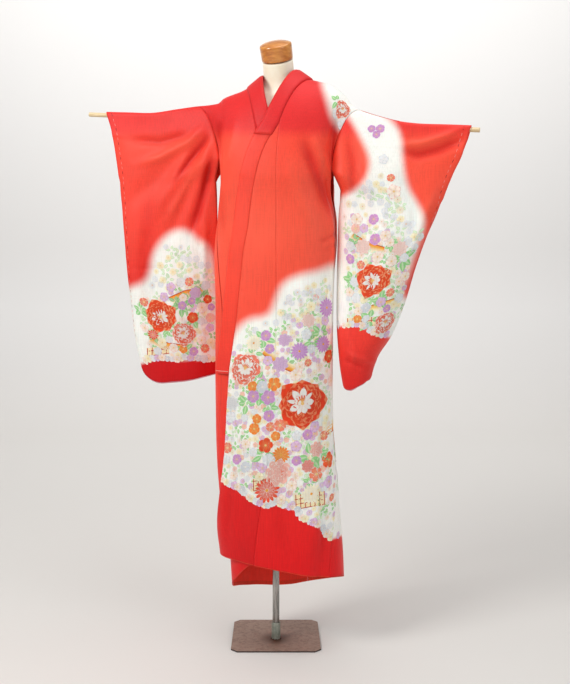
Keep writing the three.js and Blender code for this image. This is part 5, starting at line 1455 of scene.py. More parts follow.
def make_bodies():
    for side in (1, -1):
        name = "body_" + name_of(side)
        Pf = front_grid(side, "body")
        Pb, n = back_grid(side)
        hold_f = edge_hold(Pf.shape, 4, 4, 6, 3)
        hold_b = edge_hold(Pb.shape, 4, 4, 6, 3)
        Nf, Nb = side_normals(Pf), side_normals(Pb)
        Pf2 = crease(name, "f", Pf, Nf, hold_f)
        Pb2 = crease(name, "b", Pb, Nb, hold_b)
        Pb2[0, : n + 1] = Pf2[0, : n + 1]
        V = np.concatenate([Pf2.reshape(-1, 3), Pb2.reshape(-1, 3)])
        N = np.concatenate([Nf.reshape(-1, 3), Nb.reshape(-1, 3)])
        off = Pf.shape[0] * Pf.shape[1]
        F1 = orient_faces(V, quads(*Pf.shape[:2]), N)
        F2 = quads(*Pb.shape[:2], base=off)
        F2 = orient_faces(V, F2, N)
        # the front and the back share the shoulder row
        remap = np.arange(len(V))
        remap[off : off + n + 1] = np.arange(n + 1)
        F2 = remap[F2]
        C = np.concatenate([dye(name, "f", "body", Pf2).reshape(-1, 3), dye(name, "b", "body", Pb2).reshape(-1, 3)])
        V, F, C = drop_unused(V, np.concatenate([F1, F2]), C)
        put_cloth(name, V, F, C)
        CHARTS[name, "f"] = Chart(Pf2, side_normals(Pf2))
        CHARTS[name, "b"] = Chart(Pb2, side_normals(Pb2))


def side_normals(P):
    """Normals that point away from the middle of the body."""
    N = normals_of(P)
    out = P - np.array([0, 5.0, 0])
    out = np.stack([out[..., 0], out[..., 1] * 1.8, 0 * out[..., 0]], -1)
    if (N * out).sum() < 0:
        N = -N
    return N


def drop_unused(V, F, C):
    used = np.unique(F)
    remap = np.zeros(len(V), int)
    remap[used] = np.arange(len(used))
    return V[used], remap[F], C[used]


def edge_hold(shape, top, bottom, left, right):
    """0 at a panel's edges and 1 inside, so that seams stay closed."""
    ny, nx = shape[:2]
    j, i = np.arange(ny)[:, None], np.arange(nx)[None, :]
    h = np.ones((ny, nx))
    if top:
        h = h * smooth(0, top, j)
    if bottom:
        h = h * (0.35 + 0.65 * smooth(0, bottom, ny - 1 - j))
    if left:
        h = h * (0.25 + 0.75 * smooth(0, left, i))
    if right:
        h = h * (0.25 + 0.75 * smooth(0, right, nx - 1 - i))
    return h


def make_okumi():
    for side in (1, -1):
        name = "okumi_" + name_of(side)
        P = front_grid(side, "okumi")
        N = side_normals(P)
        wide = smooth(12, 50, np.linalg.norm(P[:, -1] - P[:, 0], axis=1))[:, None]
        P2 = crease(name, "f", P, N, edge_hold(P.shape, 6, 4, 4, 4) * wide)
        V, F = P2.reshape(-1, 3), quads(*P.shape[:2])
        F = orient_faces(V, F, N.reshape(-1, 3))
        put_cloth(name, V, F, dye(name, "f", "okumi", P2).reshape(-1, 3))
        CHARTS[name, "f"] = Chart(P2, side_normals(P2))


def band(name, P, lift):
    N = side_normals(P)
    P = P + N * lift
    V, F = P.reshape(-1, 3), quads(*P.shape[:2])
    F = orient_faces(V, F, N.reshape(-1, 3))
    o = put_cloth(name, V, F, dye(name, "f", "collar", P).reshape(-1, 3))
    return P, N


def make_collars():
    P = collar_grid()
    ny = len(P)
    # a band folded over: its two long edges roll under
    N = side_normals(P)
    ts = np.linspace(0, 1, P.shape[1])
    roll = 0.9 * (1 - (2 * np.abs(ts - 0.5)) ** 6) - 0.55
    band("collar", P + N * roll[None, :, None], 0.55)
    CHARTS["collar", "f"] = Chart(P, N)
    # the cover: the stretch of the band above its ends
    z0, z1 = 1633.0, 1639.0
    cut = []
    for i in range(P.shape[1]):
        z = mix(z0, z1, ts[i])
        k = np.where(P[: ny // 2, i, 2] <= z)[0].max()
        a = k + (z - P[k, i, 2]) / (P[k + 1, i, 2] - P[k, i, 2])
        k2 = ny // 2 + np.where(P[ny // 2 :, i, 2] <= z)[0].min()
        b = k2 - (z - P[k2, i, 2]) / (P[k2 - 1, i, 2] - P[k2, i, 2])
        cut.append((a, b))
    m = int(np.mean([b - a for a, b in cut])) + 1
    Q = np.zeros((m + 1, P.shape[1], 3))
    for i, (a, b) in enumerate(cut):
        r = np.linspace(a, b, m + 1)
        for d in range(3):
            Q[:, i, d] = np.interp(r, np.arange(ny), P[:, i, d])
    NQ = side_normals(Q)
    W = Q + NQ * (roll * 0.6)[None, :, None]
    # its long edges wrap down over the edges of the band below
    for edge, beside in ((0, 1), (-1, -2)):
        out = unit(Q[:, edge] - Q[:, beside])
        W[:, edge] += out * 1.7 - NQ[:, edge] * 2.9
    band("over_collar", W, 3.7)


def make_sleeves():
    for name in ("left", "right"):
        piece = "sleeve_" + name
        grids, p, total, head = sleeve_grids(name)
        nx = len(p)
        fr = {}
        for face in "fb":
            P = grids[face]
            N = face_grid(P, face)
            hold = edge_hold(P.shape, 5, 6, 5, 3)
            fr[face] = crease(piece, face, P, N, hold)
        fr["b"][0] = fr["f"][0] = (fr["f"][0] + fr["b"][0]) / 2
        fr["b"][-1] = fr["f"][-1] = (fr["f"][-1] + fr["b"][-1]) / 2
        ring = np.concatenate([fr["f"], fr["b"][::-1][1:-1]])      # rows round the bag
        m = len(ring)
        ny = len(fr["f"])
        V = ring.reshape(-1, 3)
        j, i = np.meshgrid(np.arange(m), np.arange(nx - 1), indexing="ij")
        jn = (j + 1) % m
        F = np.stack([j * nx + i, j * nx + i + 1, jn * nx + i + 1, jn * nx + i], -1).reshape(-1, 4)
        # closed along the outer edge below the cuff
        last = nx - 1
        cuff = len(head) + 1
        mirror = lambda k: (m - k) % m
        extra = []
        for k in range(cuff, ny - 2):
            extra.append([k * nx + last, mirror(k) * nx + last, mirror(k + 1) * nx + last, (k + 1) * nx + last])
        Nf = face_grid(fr["f"], "f")
        F = orient_faces(V, F, np.concatenate([Nf.reshape(-1, 3), face_grid(fr["b"], "b")[::-1][1:-1].reshape(-1, 3)]))
        # match the closing strip's sense to its neighbour's
        E = np.array(extra)
        key = set()
        for q in F[: (nx - 1) * ny]:
            for a in range(4):
                key.add((int(q[a]), int(q[(a + 1) % 4])))
        k0 = (int(E[2][0]), int(E[2][3]))
        if k0 in key:
            E = E
        else:
            E = E[:, ::-1]
        if (int(E[2][0]), int(E[2][1])) in key or any((int(E[2][a]), int(E[2][(a + 1) % 4])) in key for a in range(4)):
            E = E[:, ::-1]
        C = np.concatenate([dye(piece, "f", "sleeve", fr["f"]), dye(piece, "b", "sleeve", fr["b"])[::-1][1:-1]]).reshape(-1, 3)
        put_cloth(piece, V, np.concatenate([F, E]), C)
        CHARTS[piece, "f"] = Chart(fr["f"], face_grid(fr["f"], "f"))
        CHARTS[piece, "b"] = Chart(fr["b"], face_grid(fr["b"], "b"))


make_bodies()
make_okumi()
make_collars()
make_sleeves()


# ---------------------------------------------------------------- the pattern
TRIM = {}
PX = 3.15                      # millimetres to a picture unit at the cloth
TONES = {
    "red": (mix(RED, VERMILION, 0.45), PALE, colour(246, 140, 96)), "verm": (mix(VERMILION, RED, 0.25), PALE, colour(250, 158, 112)), "coral": (CORAL, PALE, PALE), "pink": (PINK, PALE, PALE),
    "orange": (ORANGE, YELLOW, YELLOW), "purple": (PURPLE, LILAC, LILAC), "lilac": (LILAC, WHITE, PURPLE), "mist": (MIST, WHITE, GREY),
    "cream": (CREAM, WHITE, mix(CREAM, GREEN, 0.2)), "grey": (GREY, MIST, WHITE), "blush": (PALE, WHITE, PINK),
}
# kind, right, down, radius in picture units, tone, turn
FRONT = [
    ("spray", 297, 323, 8, "", 0.4), ("spray", 314, 324, 8, "", 1.4), ("blossom", 308, 299, 6, "purple", 0.2), ("blossom", 316, 310, 5.5, "orange", 0.9),
    ("blossom", 301, 309, 4.2, "coral", 0.1), ("blossom", 322, 312, 5.5, "purple", 0.6), ("blossom", 307, 318, 6.5, "grey", 0.3), ("blossom", 294, 298, 4.5, "mist", 0.7),
    ("blossom", 286, 315, 5, "mist", 0.2), ("blossom", 324, 281, 5, "mist", 0.5), ("blossom", 309, 283, 4, "mist", 1.0),
    ("daisy", 306, 331, 12.5, "verm", 0.1), ("spray", 323, 356, 8, "", 0.2), ("spray", 296, 348, 7, "", 2.6), ("rose", 313, 345, 13.5, "coral", 0.3),
    ("blossom", 266, 334, 5.5, "purple", 0.2), ("blossom", 277, 344, 5, "lilac", 0.4), ("blossom", 286, 342, 6, "coral", 1.1), ("blossom", 264, 354, 7.5, "red", 0.5),
    ("spray", 257, 363, 7, "", 1.0), ("blossom", 236, 352, 5, "coral", 0.4), ("daisy", 235, 368, 8.5, "purple", 0.2), ("spray", 241, 377, 7, "", 2.0),
    ("blossom", 256, 371, 7, "orange", 0.0), ("blossom", 245, 386, 8, "verm", 0.8), ("blossom", 253, 379, 6.5, "verm", 0.3), ("spray", 269, 381, 7.5, "", 0.3),
    ("spray", 283, 382, 8, "", 2.8), ("blossom", 298, 376, 7.5, "purple", 0.1), ("daisy", 301, 389.5, 8.5, "orange", 0.2), ("daisy", 301, 405, 9.5, "purple", 0.5),
    ("daisy", 281, 394, 10, "cream", 0.0), ("daisy", 266, 398, 8, "cream", 0.3), ("rose", 250.5, 398, 6.5, "purple", 0.2), ("blossom", 229, 398, 5, "orange", 0.4),
    ("blossom", 238, 400, 6, "blush", 0.9), ("rose", 244, 411, 7, "blush", 0.0), ("rose", 231, 417, 8, "purple", 0.6), ("blossom", 323, 391, 6.5, "purple", 0.9),
    ("blossom", 324, 377, 4, "coral", 0.4), ("blossom", 325, 422, 5.5, "purple", 0.2), ("spray", 286, 414, 11, "", 1.3), ("spray", 262, 443, 10, "", 3.9),
    ("spray", 259, 404, 8, "", 1.7), ("peony", 260, 419, 18, "coral", 0.5), ("rose", 306, 420, 8, "coral", 0.9), ("blossom", 315, 432, 5, "purple", 0.8),
    ("rose", 318, 441, 8, "grey", 0.4), ("spray", 292, 459, 10, "", 4.5), ("spray", 304, 459, 9, "", 5.2), ("spray", 241, 427, 8, "", 1.1),
    ("peony", 288, 436, 27, "red", 0.25), ("blossom", 248, 438, 7.5, "coral", 0.3), ("rose", 249.5, 451, 6.5, "red", 0.4), ("daisy", 291, 469, 8.5, "purple", 0.0),
    ("blossom", 315, 464, 6.8, "red", 0.2), ("blossom", 316, 474, 5.6, "red", 0.8), ("blossom", 328, 464, 5, "purple", 0.5), ("blossom", 301, 487, 6.5, "coral", 0.2),
    ("blossom", 229, 457, 5.5, "lilac", 0.3), ("blossom", 240, 459, 6, "lilac", 0.9), ("blossom", 263, 463, 6, "orange", 0.2), ("blossom", 276, 459, 5, "orange", 0.9),
    ("spray", 237, 467, 5, "", 0.2), ("blossom", 246, 474, 6, "grey", 0.2), ("blossom", 244, 485, 6.5, "mist", 0.8), ("spray", 253, 482, 6, "", 1.0),
    ("blossom", 255, 494, 6, "mist", 0.2), ("blossom", 262, 502, 5.5, "mist", 1.0), ("blossom", 236, 481, 4.5, "grey", 0.7), ("blossom", 249, 499, 3.6, "cream", 0.2),
    ("blossom", 286, 499, 5.5, "blush", 0.2), ("blossom", 294, 502, 6, "blush", 0.9), ("blossom", 302, 497, 5.5, "lilac", 0.4), ("blossom", 311, 500, 5, "blush", 0.1),
    ("spray", 303, 507, 5.5, "", 4.2), ("blossom", 317, 521, 6, "blush", 0.1), ("blossom", 324, 526, 5, "cream", 0.7), ("blossom", 309, 515, 4.6, "cream", 0.3),
    ("blossom", 327, 497, 5, "lilac", 0.2), ("blossom", 329, 483, 4.5, "blush", 0.2), ("spray", 326, 510, 5, "", 0.3), ("blossom", 334, 452, 4, "coral", 0.2),
    ("blossom", 335, 475, 5, "lilac", 0.4), ("spray", 334, 438, 6, "", 0.2), ("blossom", 336, 412, 5, "blush", 0.9), ("blossom", 334, 376, 5, "coral", 0.4),
    ("spray", 335, 393, 6, "", 1.2), ("blossom", 334, 350, 5, "lilac", 0.2), ("blossom", 334, 326, 5, "blush", 0.2),
]
FRONT_BANDS = [
    # points, widths, colours from the upper edge down
    ([(262, 371), (278, 363), (296, 351)], [7, 8, 6], "gold"), ([(222, 420), (231, 428), (240, 438)], [9, 8, 3], "gold"),
    ([(245, 462), (262, 471), (285, 484), (304, 496)], [8, 9, 8, 5], "goldcream"), ([(314, 501), (326, 507), (342, 519)], [5, 7, 6], "gold"),
    ([(328, 312), (329, 340), (328, 362)], [4, 5, 4], "gold"), ([(336, 476), (337, 500), (338, 520)], [4, 5, 5], "goldcream"),
]
FRONT_LATTICE = [(271, 491, 34, 17, -0.12), (229, 474, 20, 14, 0.1), (303, 513, 16, 9, -0.3), (333, 530, 13, 14, -0.2), (252, 487, 12, 8, -0.6), (320, 523, 12, 7, -0.4)]
FRONT_TWIGS = [([(303, 471), (309, 479), (315, 488), (318, 493)], 2.0), ([(300, 352), (305, 359), (309, 366), (316, 367)], 2.4), ([(254, 449), (260, 457), (268, 461), (274, 457)], 2.6),
               ([(309, 356), (312, 364)], 2.0)]

SLEEVE_R = [
    ("spray", 163, 286, 7, "", 0.6), ("spray", 164, 293, 6, "", 3.3), ("spray", 186, 291, 8, "", 0.7), ("spray", 180, 299, 7, "", 2.2), ("spray", 205, 294, 7, "", 0.7),
    ("blossom", 184, 280, 4.8, "red", 0.2), ("blossom", 192, 281, 5, "lilac", 0.4), ("blossom", 198, 278, 4.2, "purple", 0.9), ("blossom", 173, 290, 6, "blush", 0.1),
    ("blossom", 171, 298, 5, "coral", 0.5), ("rose", 164, 306, 6.5, "purple", 0.2), ("spray", 162, 322, 8, "", 2.6), ("spray", 201, 318, 9, "", 0.3), ("spray", 165, 326, 7, "", 4.0),
    ("peony", 197, 301, 14, "coral", 0.9), ("peony", 181, 317, 19, "verm", 0.15), ("blossom", 137, 324, 5, "coral", 0.2), ("blossom", 152, 327, 4, "purple", 0.5),
    ("spray", 147, 326, 5, "", 0.9), ("daisy", 167, 335, 6, "verm", 0.1), ("blossom", 158, 338, 5.5, "pink", 0.4), ("blossom", 168, 347, 4.8, "purple", 0.2), ("blossom", 155, 351, 4.6, "lilac", 0.8),
    ("blossom", 180, 335, 5, "cream", 0.2), ("blossom", 206, 323, 6, "red", 0.3), ("blossom", 205, 337, 5, "purple", 0.8), ("blossom", 171, 355, 4.6, "orange", 0.2),
    ("blossom", 179, 355, 5, "mist", 0.9), ("blossom", 163, 354, 4.6, "blush", 0.2), ("blossom", 187, 350, 5, "cream", 0.2), ("blossom", 196, 358, 5, "lilac", 0.4),
    ("blossom", 189, 359, 4, "mist", 0.6), ("blossom", 205, 356, 4.5, "blush", 0.1), ("blossom", 147, 357, 5, "blush", 0.4), ("blossom", 142, 345, 5, "blush", 0.9),
    ("blossom", 144, 335, 4.5, "mist", 0.1), ("spray", 152, 360, 6, "", 5.6), ("spray", 158, 362, 6.5, "", 5.9), ("spray", 145, 365, 5, "", 4.6), ("blossom", 211, 305, 5, "coral", 0.4),
    ("spray", 208, 345, 6, "", 0.4), ("blossom", 212, 287, 5, "mist", 0.4), ("spray", 208, 268, 5, "pale", 0.4), ("blossom", 203, 262, 4, "mist", 0.1),
]
SLEEVE_R_BANDS = [([(127, 299), (142, 305), (159, 314)], [6, 7, 4], "gold"), ([(178, 347), (190, 346), (202, 344)], [5, 7, 6], "gold")]
SLEEVE_R_LATTICE = [(208, 352, 14, 9, 0.1), (196, 353, 10, 6, 0.1)]
SLEEVE_R_TWIGS = [([(189, 337), (194, 331), (200, 328)], 2.4), ([(176, 341), (181, 345), (188, 341)], 2.4)]

SLEEVE_L = [
    ("spray", 364, 123, 6, "", 0.9), ("blossom", 371, 121, 4.2, "coral", 0.2), ("blossom", 375, 119, 4, "purple", 0.6), ("blossom", 369.5, 131, 4.6, "purple", 0.4),
    ("blossom", 371, 137, 4, "purple", 0.9), ("blossom", 378, 131, 7, "blush", 0.1), ("spray", 387, 132, 6, "", 0.1), ("spray", 382, 141, 6, "", 5.1), ("blossom", 386, 123, 5, "mist", 0.5),
    ("spray", 349, 212, 6, "pale", 1.3), ("blossom", 352, 221, 5.6, "purple", 0.1), ("blossom", 351, 228, 5, "purple", 0.7), ("blossom", 359, 222, 4.6, "lilac", 0.7),
    ("spray", 372, 218, 6, "", 0.5), ("blossom", 368, 226, 5.6, "blush", 0.2), ("spray", 375, 227, 5, "", 5.8), ("blossom", 360, 236, 5, "lilac", 0.3), ("blossom", 385, 240, 4.2, "purple", 0.2),
    ("blossom", 378, 238, 6, "blush", 0.5), ("spray", 371, 247, 8, "", 0.3), ("spray", 347, 260, 7, "", 2.7), ("peony", 354, 247, 12.5, "coral", 0.5), ("blossom", 380, 251, 6, "blush", 0.1),
    ("blossom", 392, 253, 6, "purple", 0.4), ("spray", 401, 253, 5, "", 0.2), ("blossom", 403, 265, 5.4, "grey", 0.5), ("rose", 393, 268, 8, "blush", 0.2), ("spray", 383, 276, 9, "", 5.6),
    ("spray", 347, 276, 8, "", 3.4), ("spray", 357, 288, 9, "", 4.2), ("spray", 372, 287, 8, "", 5.0), ("peony", 362, 271, 18, "verm", 0.4), ("spray", 396, 286, 6, "", 0.3),
    ("blossom", 404, 279, 5, "mist", 0.2), ("rose", 378, 293, 7.5, "blush", 0.7), ("blossom", 382, 296, 4.6, "coral", 0.2), ("blossom", 389, 287, 5, "blush", 0.9),
    ("blossom", 392, 296, 4.5, "orange", 0.3), ("blossom", 350, 288, 5, "mist", 0.3), ("blossom", 383, 306, 5.6, "blush", 0.1), ("blossom", 390, 311, 5.2, "mist", 0.7), ("blossom", 397, 303, 4.6, "coral", 0.3),
    ("blossom", 381, 313, 4.4, "blush", 0.5), ("blossom", 402, 296, 4.6, "mist", 0.1), ("blossom", 346, 299, 5, "pink", 0.4),
    ("blossom", 351, 327, 4.4, "cream", 0.2), ("blossom", 360, 326, 4.2, "cream", 0.8), ("blossom", 369, 330, 4.4, "blush", 0.2), ("blossom", 378, 334, 4.4, "cream", 0.5), ("blossom", 387, 334, 4.4, "blush", 0.2),
    ("blossom", 345, 328, 4.4, "blush", 0.7), ("spray", 408, 250, 5, "pale", 0.2), ("blossom", 414, 240, 5, "mist", 0.4), ("blossom", 405, 230, 4, "mist", 0.9),
]
SLEEVE_L_BANDS = [([(375, 141), (383, 156), (388, 172), (392, 190), (396, 212), (397, 240)], [2.5, 5, 6.5, 8, 10, 11], "rise"),
                  ([(340, 311), (357, 309), (378, 307)], [9, 10, 9], "goldcream"), ([(389, 247), (395, 250), (398, 262)], [3, 4, 3], "gold"), ([(393, 308), (404, 305)], [6, 7], "goldcream")]
SLEEVE_L_LATTICE = [(367, 320, 42, 16, -0.22), (388, 324, 14, 12, -0.3)]
SLEEVE_L_TWIGS = [([(346, 284), (351, 292), (357, 298), (363, 296), (368, 291)], 2.8), ([(350, 290), (354, 297), (360, 303)], 2.2)]

EDGE_FRONT = [(218, 478), (228, 485), (240, 490), (250, 500), (262, 506), (268, 508), (275, 503), (284, 507), (297, 510), (301, 519), (310, 523), (320, 527), (327, 536), (332, 540), (341, 533)]
EDGE_RIGHT = [(140, 363), (151, 361), (162, 360), (176, 361), (186, 359), (196, 360), (206, 361), (216, 360)]
EDGE_LEFT = [(339, 327), (352, 326), (364, 327), (371, 332), (380, 336), (390, 337)]
EDGE_BACK = [(238, 546), (256, 556), (270, 560), (290, 552), (306, 548), (318, 540), (330, 540), (345, 534)]

SHOULDER = [("spray", 340, 95, 6, "", 1.5), ("spray", 349, 115, 5, "pale", 4.5), ("peony", 346, 104, 9.2, "coral", 0.5), ("spray", 359, 112, 6, "pale", 5.4), ("blossom", 345, 119, 5, "mist", 0.4), ("blossom", 336, 86, 5, "mist", 0.9),
            ("blossom", 338, 108, 4, "mist", 0.1)]


def shifted(table_, dx, dy, flip_about=None):
    """The same vocabulary in another arrangement for a hidden side."""
    out = []
    for k, (kind, x, y, r, tone, turn) in enumerate(table_):
        x2 = x if flip_about is None else 2 * flip_about - x
        out.append((kind, x2 + dx, y + dy + 3.0 * math.sin(2.4 * k), r, tone, turn + 1.1))
    return out


def bands_shifted(bands, dx, dy, about=None):
    out = []
    for pts, w, tone in bands:
        p = [((x if about is None else 2 * about - x) + dx, y + dy) for x, y in pts]
        if about is not None:
            p, w = p[::-1], list(w)[::-1]
        out.append((p, w, tone))
    return out


BAND_TONES = {
    "gold": [ORANGE, GOLD, mix(GOLD, CREAM, 0.5), CREAM],
    "goldcream": [GOLD, YELLOW, CREAM, WHITE],
    "rise": [ORANGE, GOLD, YELLOW, CREAM, WHITE],
}


def place(chart, px, py):
    """Fractional place of a picture place, also a little beyond the panel's edge."""
    j, i, d = chart.find(px, py)
    ny, nx = chart.shape
    j0, i0 = int(np.clip(j, 1, ny - 2)), int(np.clip(i, 1, nx - 2))
    qi = (chart.q[j0, i0 + 1] - chart.q[j0, i0 - 1]) / 2
    qj = (chart.q[j0 + 1, i0] - chart.q[j0 - 1, i0]) / 2
    m = np.array([qi, qj]).T
    det = m[0, 0] * m[1, 1] - m[0, 1] * m[1, 0]
    r = np.array([px, py]) - chart.q[int(j), int(i)]
    if abs(det) > 0.05:
        s = np.linalg.solve(m, r)
        s = np.clip(s, -60, 60)
        i, j = i + s[0], j + s[1]
    flip = 1.0 if qi[0] > 0 else -1.0
    return j, i, flip, d


def one(kind, r, tone, turn, layer):
    ink = Ink()
    main, heart, rim = TONES.get(tone, (None, None, None))
    if kind == "peony":
        peony(ink, 0, 0, r, main, WHITE, rim, layer, turn)
    elif kind == "rose":
        rose(ink, 0, 0, r, main, rim if tone in ("coral", "blush", "grey") else mix(main, WHITE, 0.6), layer, turn)
    elif kind == "daisy":
        daisy(ink, 0, 0, r, main, heart, GOLD, layer, turn, n=12 if r < 22 else 16)
    elif kind == "blossom":
        blossom(ink, 0, 0, r, main, rim, YELLOW if tone not in ("mist", "grey") else WHITE, layer, turn)
    elif kind == "spray":
        if tone == "pale":
            spray(ink, 0, 0, r, layer, turn, mix(LEAF, WHITE, 0.35), mix(LEAF, WHITE, 0.65), n=4)
        else:
            spray(ink, 0, 0, r, layer, turn, GREEN, LEAF, n=5)
    return ink


def put(ink, charts, px, py, reach_mm, outs, exact=False):
    for key, chart in charts:
        j, i, flip, d = place(chart, px, py)
        if d * PX > reach_mm + 4:
            continue
        lay(ink, chart, j, i, flip, SKIN, outs[key[0]], (px, py) if exact else None)


def local(points, cx, cy):
    return [((x - cx) * PX, -(y - cy) * PX) for x, y in points]


def scallops(charts, edge, outs, seed, gap=4.6, size=(3.2, 5.0)):
    """Pale blossoms in a row that close a cloud's lower edge."""
    rng = np.random.default_rng(seed)
    edge = np.array(edge, float)
    seg = np.concatenate([[0], np.cumsum(np.linalg.norm(np.diff(edge, axis=0), axis=1))])
    for k, s in enumerate(np.arange(0, seg[-1], gap)):
        x, y = np.interp(s, seg, edge[:, 0]), np.interp(s, seg, edge[:, 1])
        r, u, v = rng.uniform(*size), rng.uniform(0, 6.3), rng.uniform(-1, 1)
        tone = ("mist", "blush", "cream", "mist", "lilac", "blush", "grey")[k % 7]
        put(one("blossom", r * PX, tone, u, 3.4 + 0.3 * (k % 3)), charts, x + v * 0.8, y - r * 0.45 + v * 0.6, r * PX, outs)


def pattern(charts, motifs, bands, lattices, twigs, outs, zones=(), seed=1):
    """Ground flowers first, then lattice and bands, then the large flowers in order of size."""
    rng = np.random.default_rng(seed)
    taken = [(x, y, r) for kind, x, y, r, *_ in motifs if kind != "spray"]
    for zone, gap, tones in zones:
        zx = [p[0] for p in zone]
        zy = [p[1] for p in zone]
        k = 0
        y = min(zy)
        while y < max(zy):
            x = min(zx) + (gap / 2 if k % 2 else 0)
            while x < max(zx):
                jx, jy = rng.uniform(-0.32, 0.32, 2) * gap
                u, v, w = rng.uniform(0, 1, 3)
                c = np.array([[x + jx, y + jy]])
                if inside_distance(c, zone)[0] > 1.5 and all(math.hypot(x + jx - a, y + jy - b) > r * 0.75 for a, b, r in taken):
                    tone = tones[int(u * len(tones))]
                    if tone == "green":
                        ink = Ink()
                        spray(ink, 0, 0, gap * PX * 0.6, 0.1, v * 6.3, GREEN, LEAF, n=4)
                    elif tone == "leaf":
                        ink = Ink()
                        spray(ink, 0, 0, gap * PX * 0.62, 0, v * 6.3, mix(LEAF, WHITE, 0.15), mix(LEAF, WHITE, 0.55), n=4)
                    else:
                        ink = one("blossom" if v < 0.75 else "daisy", gap * PX * (0.42 + 0.22 * w), tone, w * 6.3, 0.3)
                    put(ink, charts, x + jx, y + jy, gap * PX, outs)
                x += gap
            y += gap * 0.9
            k += 1
    for x, y, w, h, turn in lattices:
        ink = Ink()
        lattice(ink, 0, 0, w * PX, h * PX, turn, 1.6)
        put(ink, charts, x, y, w * PX / 2, outs, True)
    for pts, widths, tone in bands:
        cx, cy = pts[len(pts) // 2]
        ink = Ink()
        ribbon(ink, local(pts, cx, cy), [w * PX for w in widths], BAND_TONES[tone], 2.4)
        put(ink, charts, cx, cy, 120, outs, True)
    order = sorted(motifs, key=lambda m: (m[0] != "spray", m[3]))
    for kind, x, y, r, tone, turn in order:
        r = r * (1.12 if kind in ("blossom", "daisy", "rose") else 1.0)
        base = 3.0 if kind == "spray" else 4.0 + min(r, 20) * 0.12
        ink = one(kind, r * PX, tone, turn, base)
        put(ink, charts, x, y, r * PX, outs)
    for pts, w in twigs:
        cx, cy = pts[0]
        ink = Ink()
        line(ink, local(pts, cx, cy), w, BLACK, 7.2)
        for (x, y) in pts[1::2]:
            (a, b), = local([(x, y)], cx, cy)
            disc(ink, a, b, w * 1.4, BLACK, BLACK, 7.3, 6)
        put(ink, charts, cx, cy, 60, outs, True)


def strip(chart, J0, J1, I0, I1, col, layer, out, flip=1.0, wall=None, step=6.0):
    """A narrow run of colour between two places of a chart, along rows or columns."""
    sj, si = chart.frame((J0 + J1) / 2, (I0 + I1) / 2)
    nj = max(int(abs(J1 - J0) * sj / step), 1)
    ni = max(int(abs(I1 - I0) * si / step), 1)
    J, I = np.meshgrid(np.linspace(J0, J1, nj + 1), np.linspace(I0, I1, ni + 1), indexing="ij")
    P, N = chart.read(J.ravel(), I.ravel())
    N = N * flip
    P = P + N * (SKIN + 0.42 + 0.075 * layer)
    F = quads(nj + 1, ni + 1)
    nf = np.cross(P[F[:, 2]] - P[F[:, 0]], P[F[:, 3]] - P[F[:, 1]])
    back = (nf * N[F[:, 0]]).sum(1) < 0
    F[back] = F[back][:, ::-1]
    out["v"].append(P)
    out["n"].append(N)
    out["c"].append(np.broadcast_to(col, P.shape).copy())
    out["f"].append(F + out["count"])
    out["count"] += len(P)


def stitches(chart, inset, j0, j1, out, light, dark, along=9.0, gap=8.0):
    """Running stitches beside a sleeve's outer edge."""
    ny, nx = chart.shape
    j = j0
    k = 0
    while j < j1:
        sj, si = chart.frame(j, nx - 3)
        i = nx - 1 - inset / si
        w = 0.75 / si
        dj = along / sj
        strip(chart, j, min(j + dj, j1), i - w, i + w, light if k % 3 else dark, 3, out)
        j += dj + gap / sj
        k += 1


def sheet_of(outs, piece):
    o = outs[piece]
    if not o["count"]:
        return
    V, N, C, F = (np.concatenate(o[k]) for k in "vncf")
    ob = mesh_object("pattern_" + piece, V, F, C, N, SILK_PRINT)
    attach(ob, "root")
    TRIM.setdefault(piece, []).append(ob)


def settle(motifs, zone, seed):
    """The flowers set out afresh inside a zone, large ones first, each where it has most room, then leaves beside them."""
    rng = np.random.default_rng(seed)
    lo, hi = np.min(zone, axis=0), np.max(zone, axis=0)
    out = []
    for kind, _, _, r, tone, turn in sorted(motifs, key=lambda m: (m[0] == "spray", -m[3])):
        c = rng.uniform(lo, hi, (160, 2))
        if kind == "spray":
            big = [m for m in out if m[3] > 6 and m[0] != "spray"] or out[:1]
            c = np.array([[m[1] + (m[3] + 0.35 * r) * math.cos(a), m[2] + (m[3] + 0.35 * r) * math.sin(a)] for m in big for a in rng.uniform(0, 6.28, 4)])
            room = inside_distance(c, zone) - 0.3 * r
            k = int(rng.integers(len(c)))
            if room[k] > 0:
                out.append((kind, c[k, 0], c[k, 1], r, tone, turn + float(rng.uniform(0, 6))))
            continue
        room = inside_distance(c, zone) - 0.75 * r
        for m in out:
            room = np.minimum(room, np.hypot(c[:, 0] - m[1], c[:, 1] - m[2]) - 0.8 * (m[3] + r))
        ok = np.flatnonzero(room > 0)
        k = int(ok[0]) if len(ok) else int(np.argmax(room))
        if room[k] > -0.35 * r:
            out.append((kind, c[k, 0], c[k, 1], r, tone, turn + float(rng.uniform(0, 6))))
    return out


def held(bands, zone):
    """Only the bands that stay inside a zone."""
    return [b for b in bands if inside_distance(np.array(b[0], float), zone).min() > 1.0]


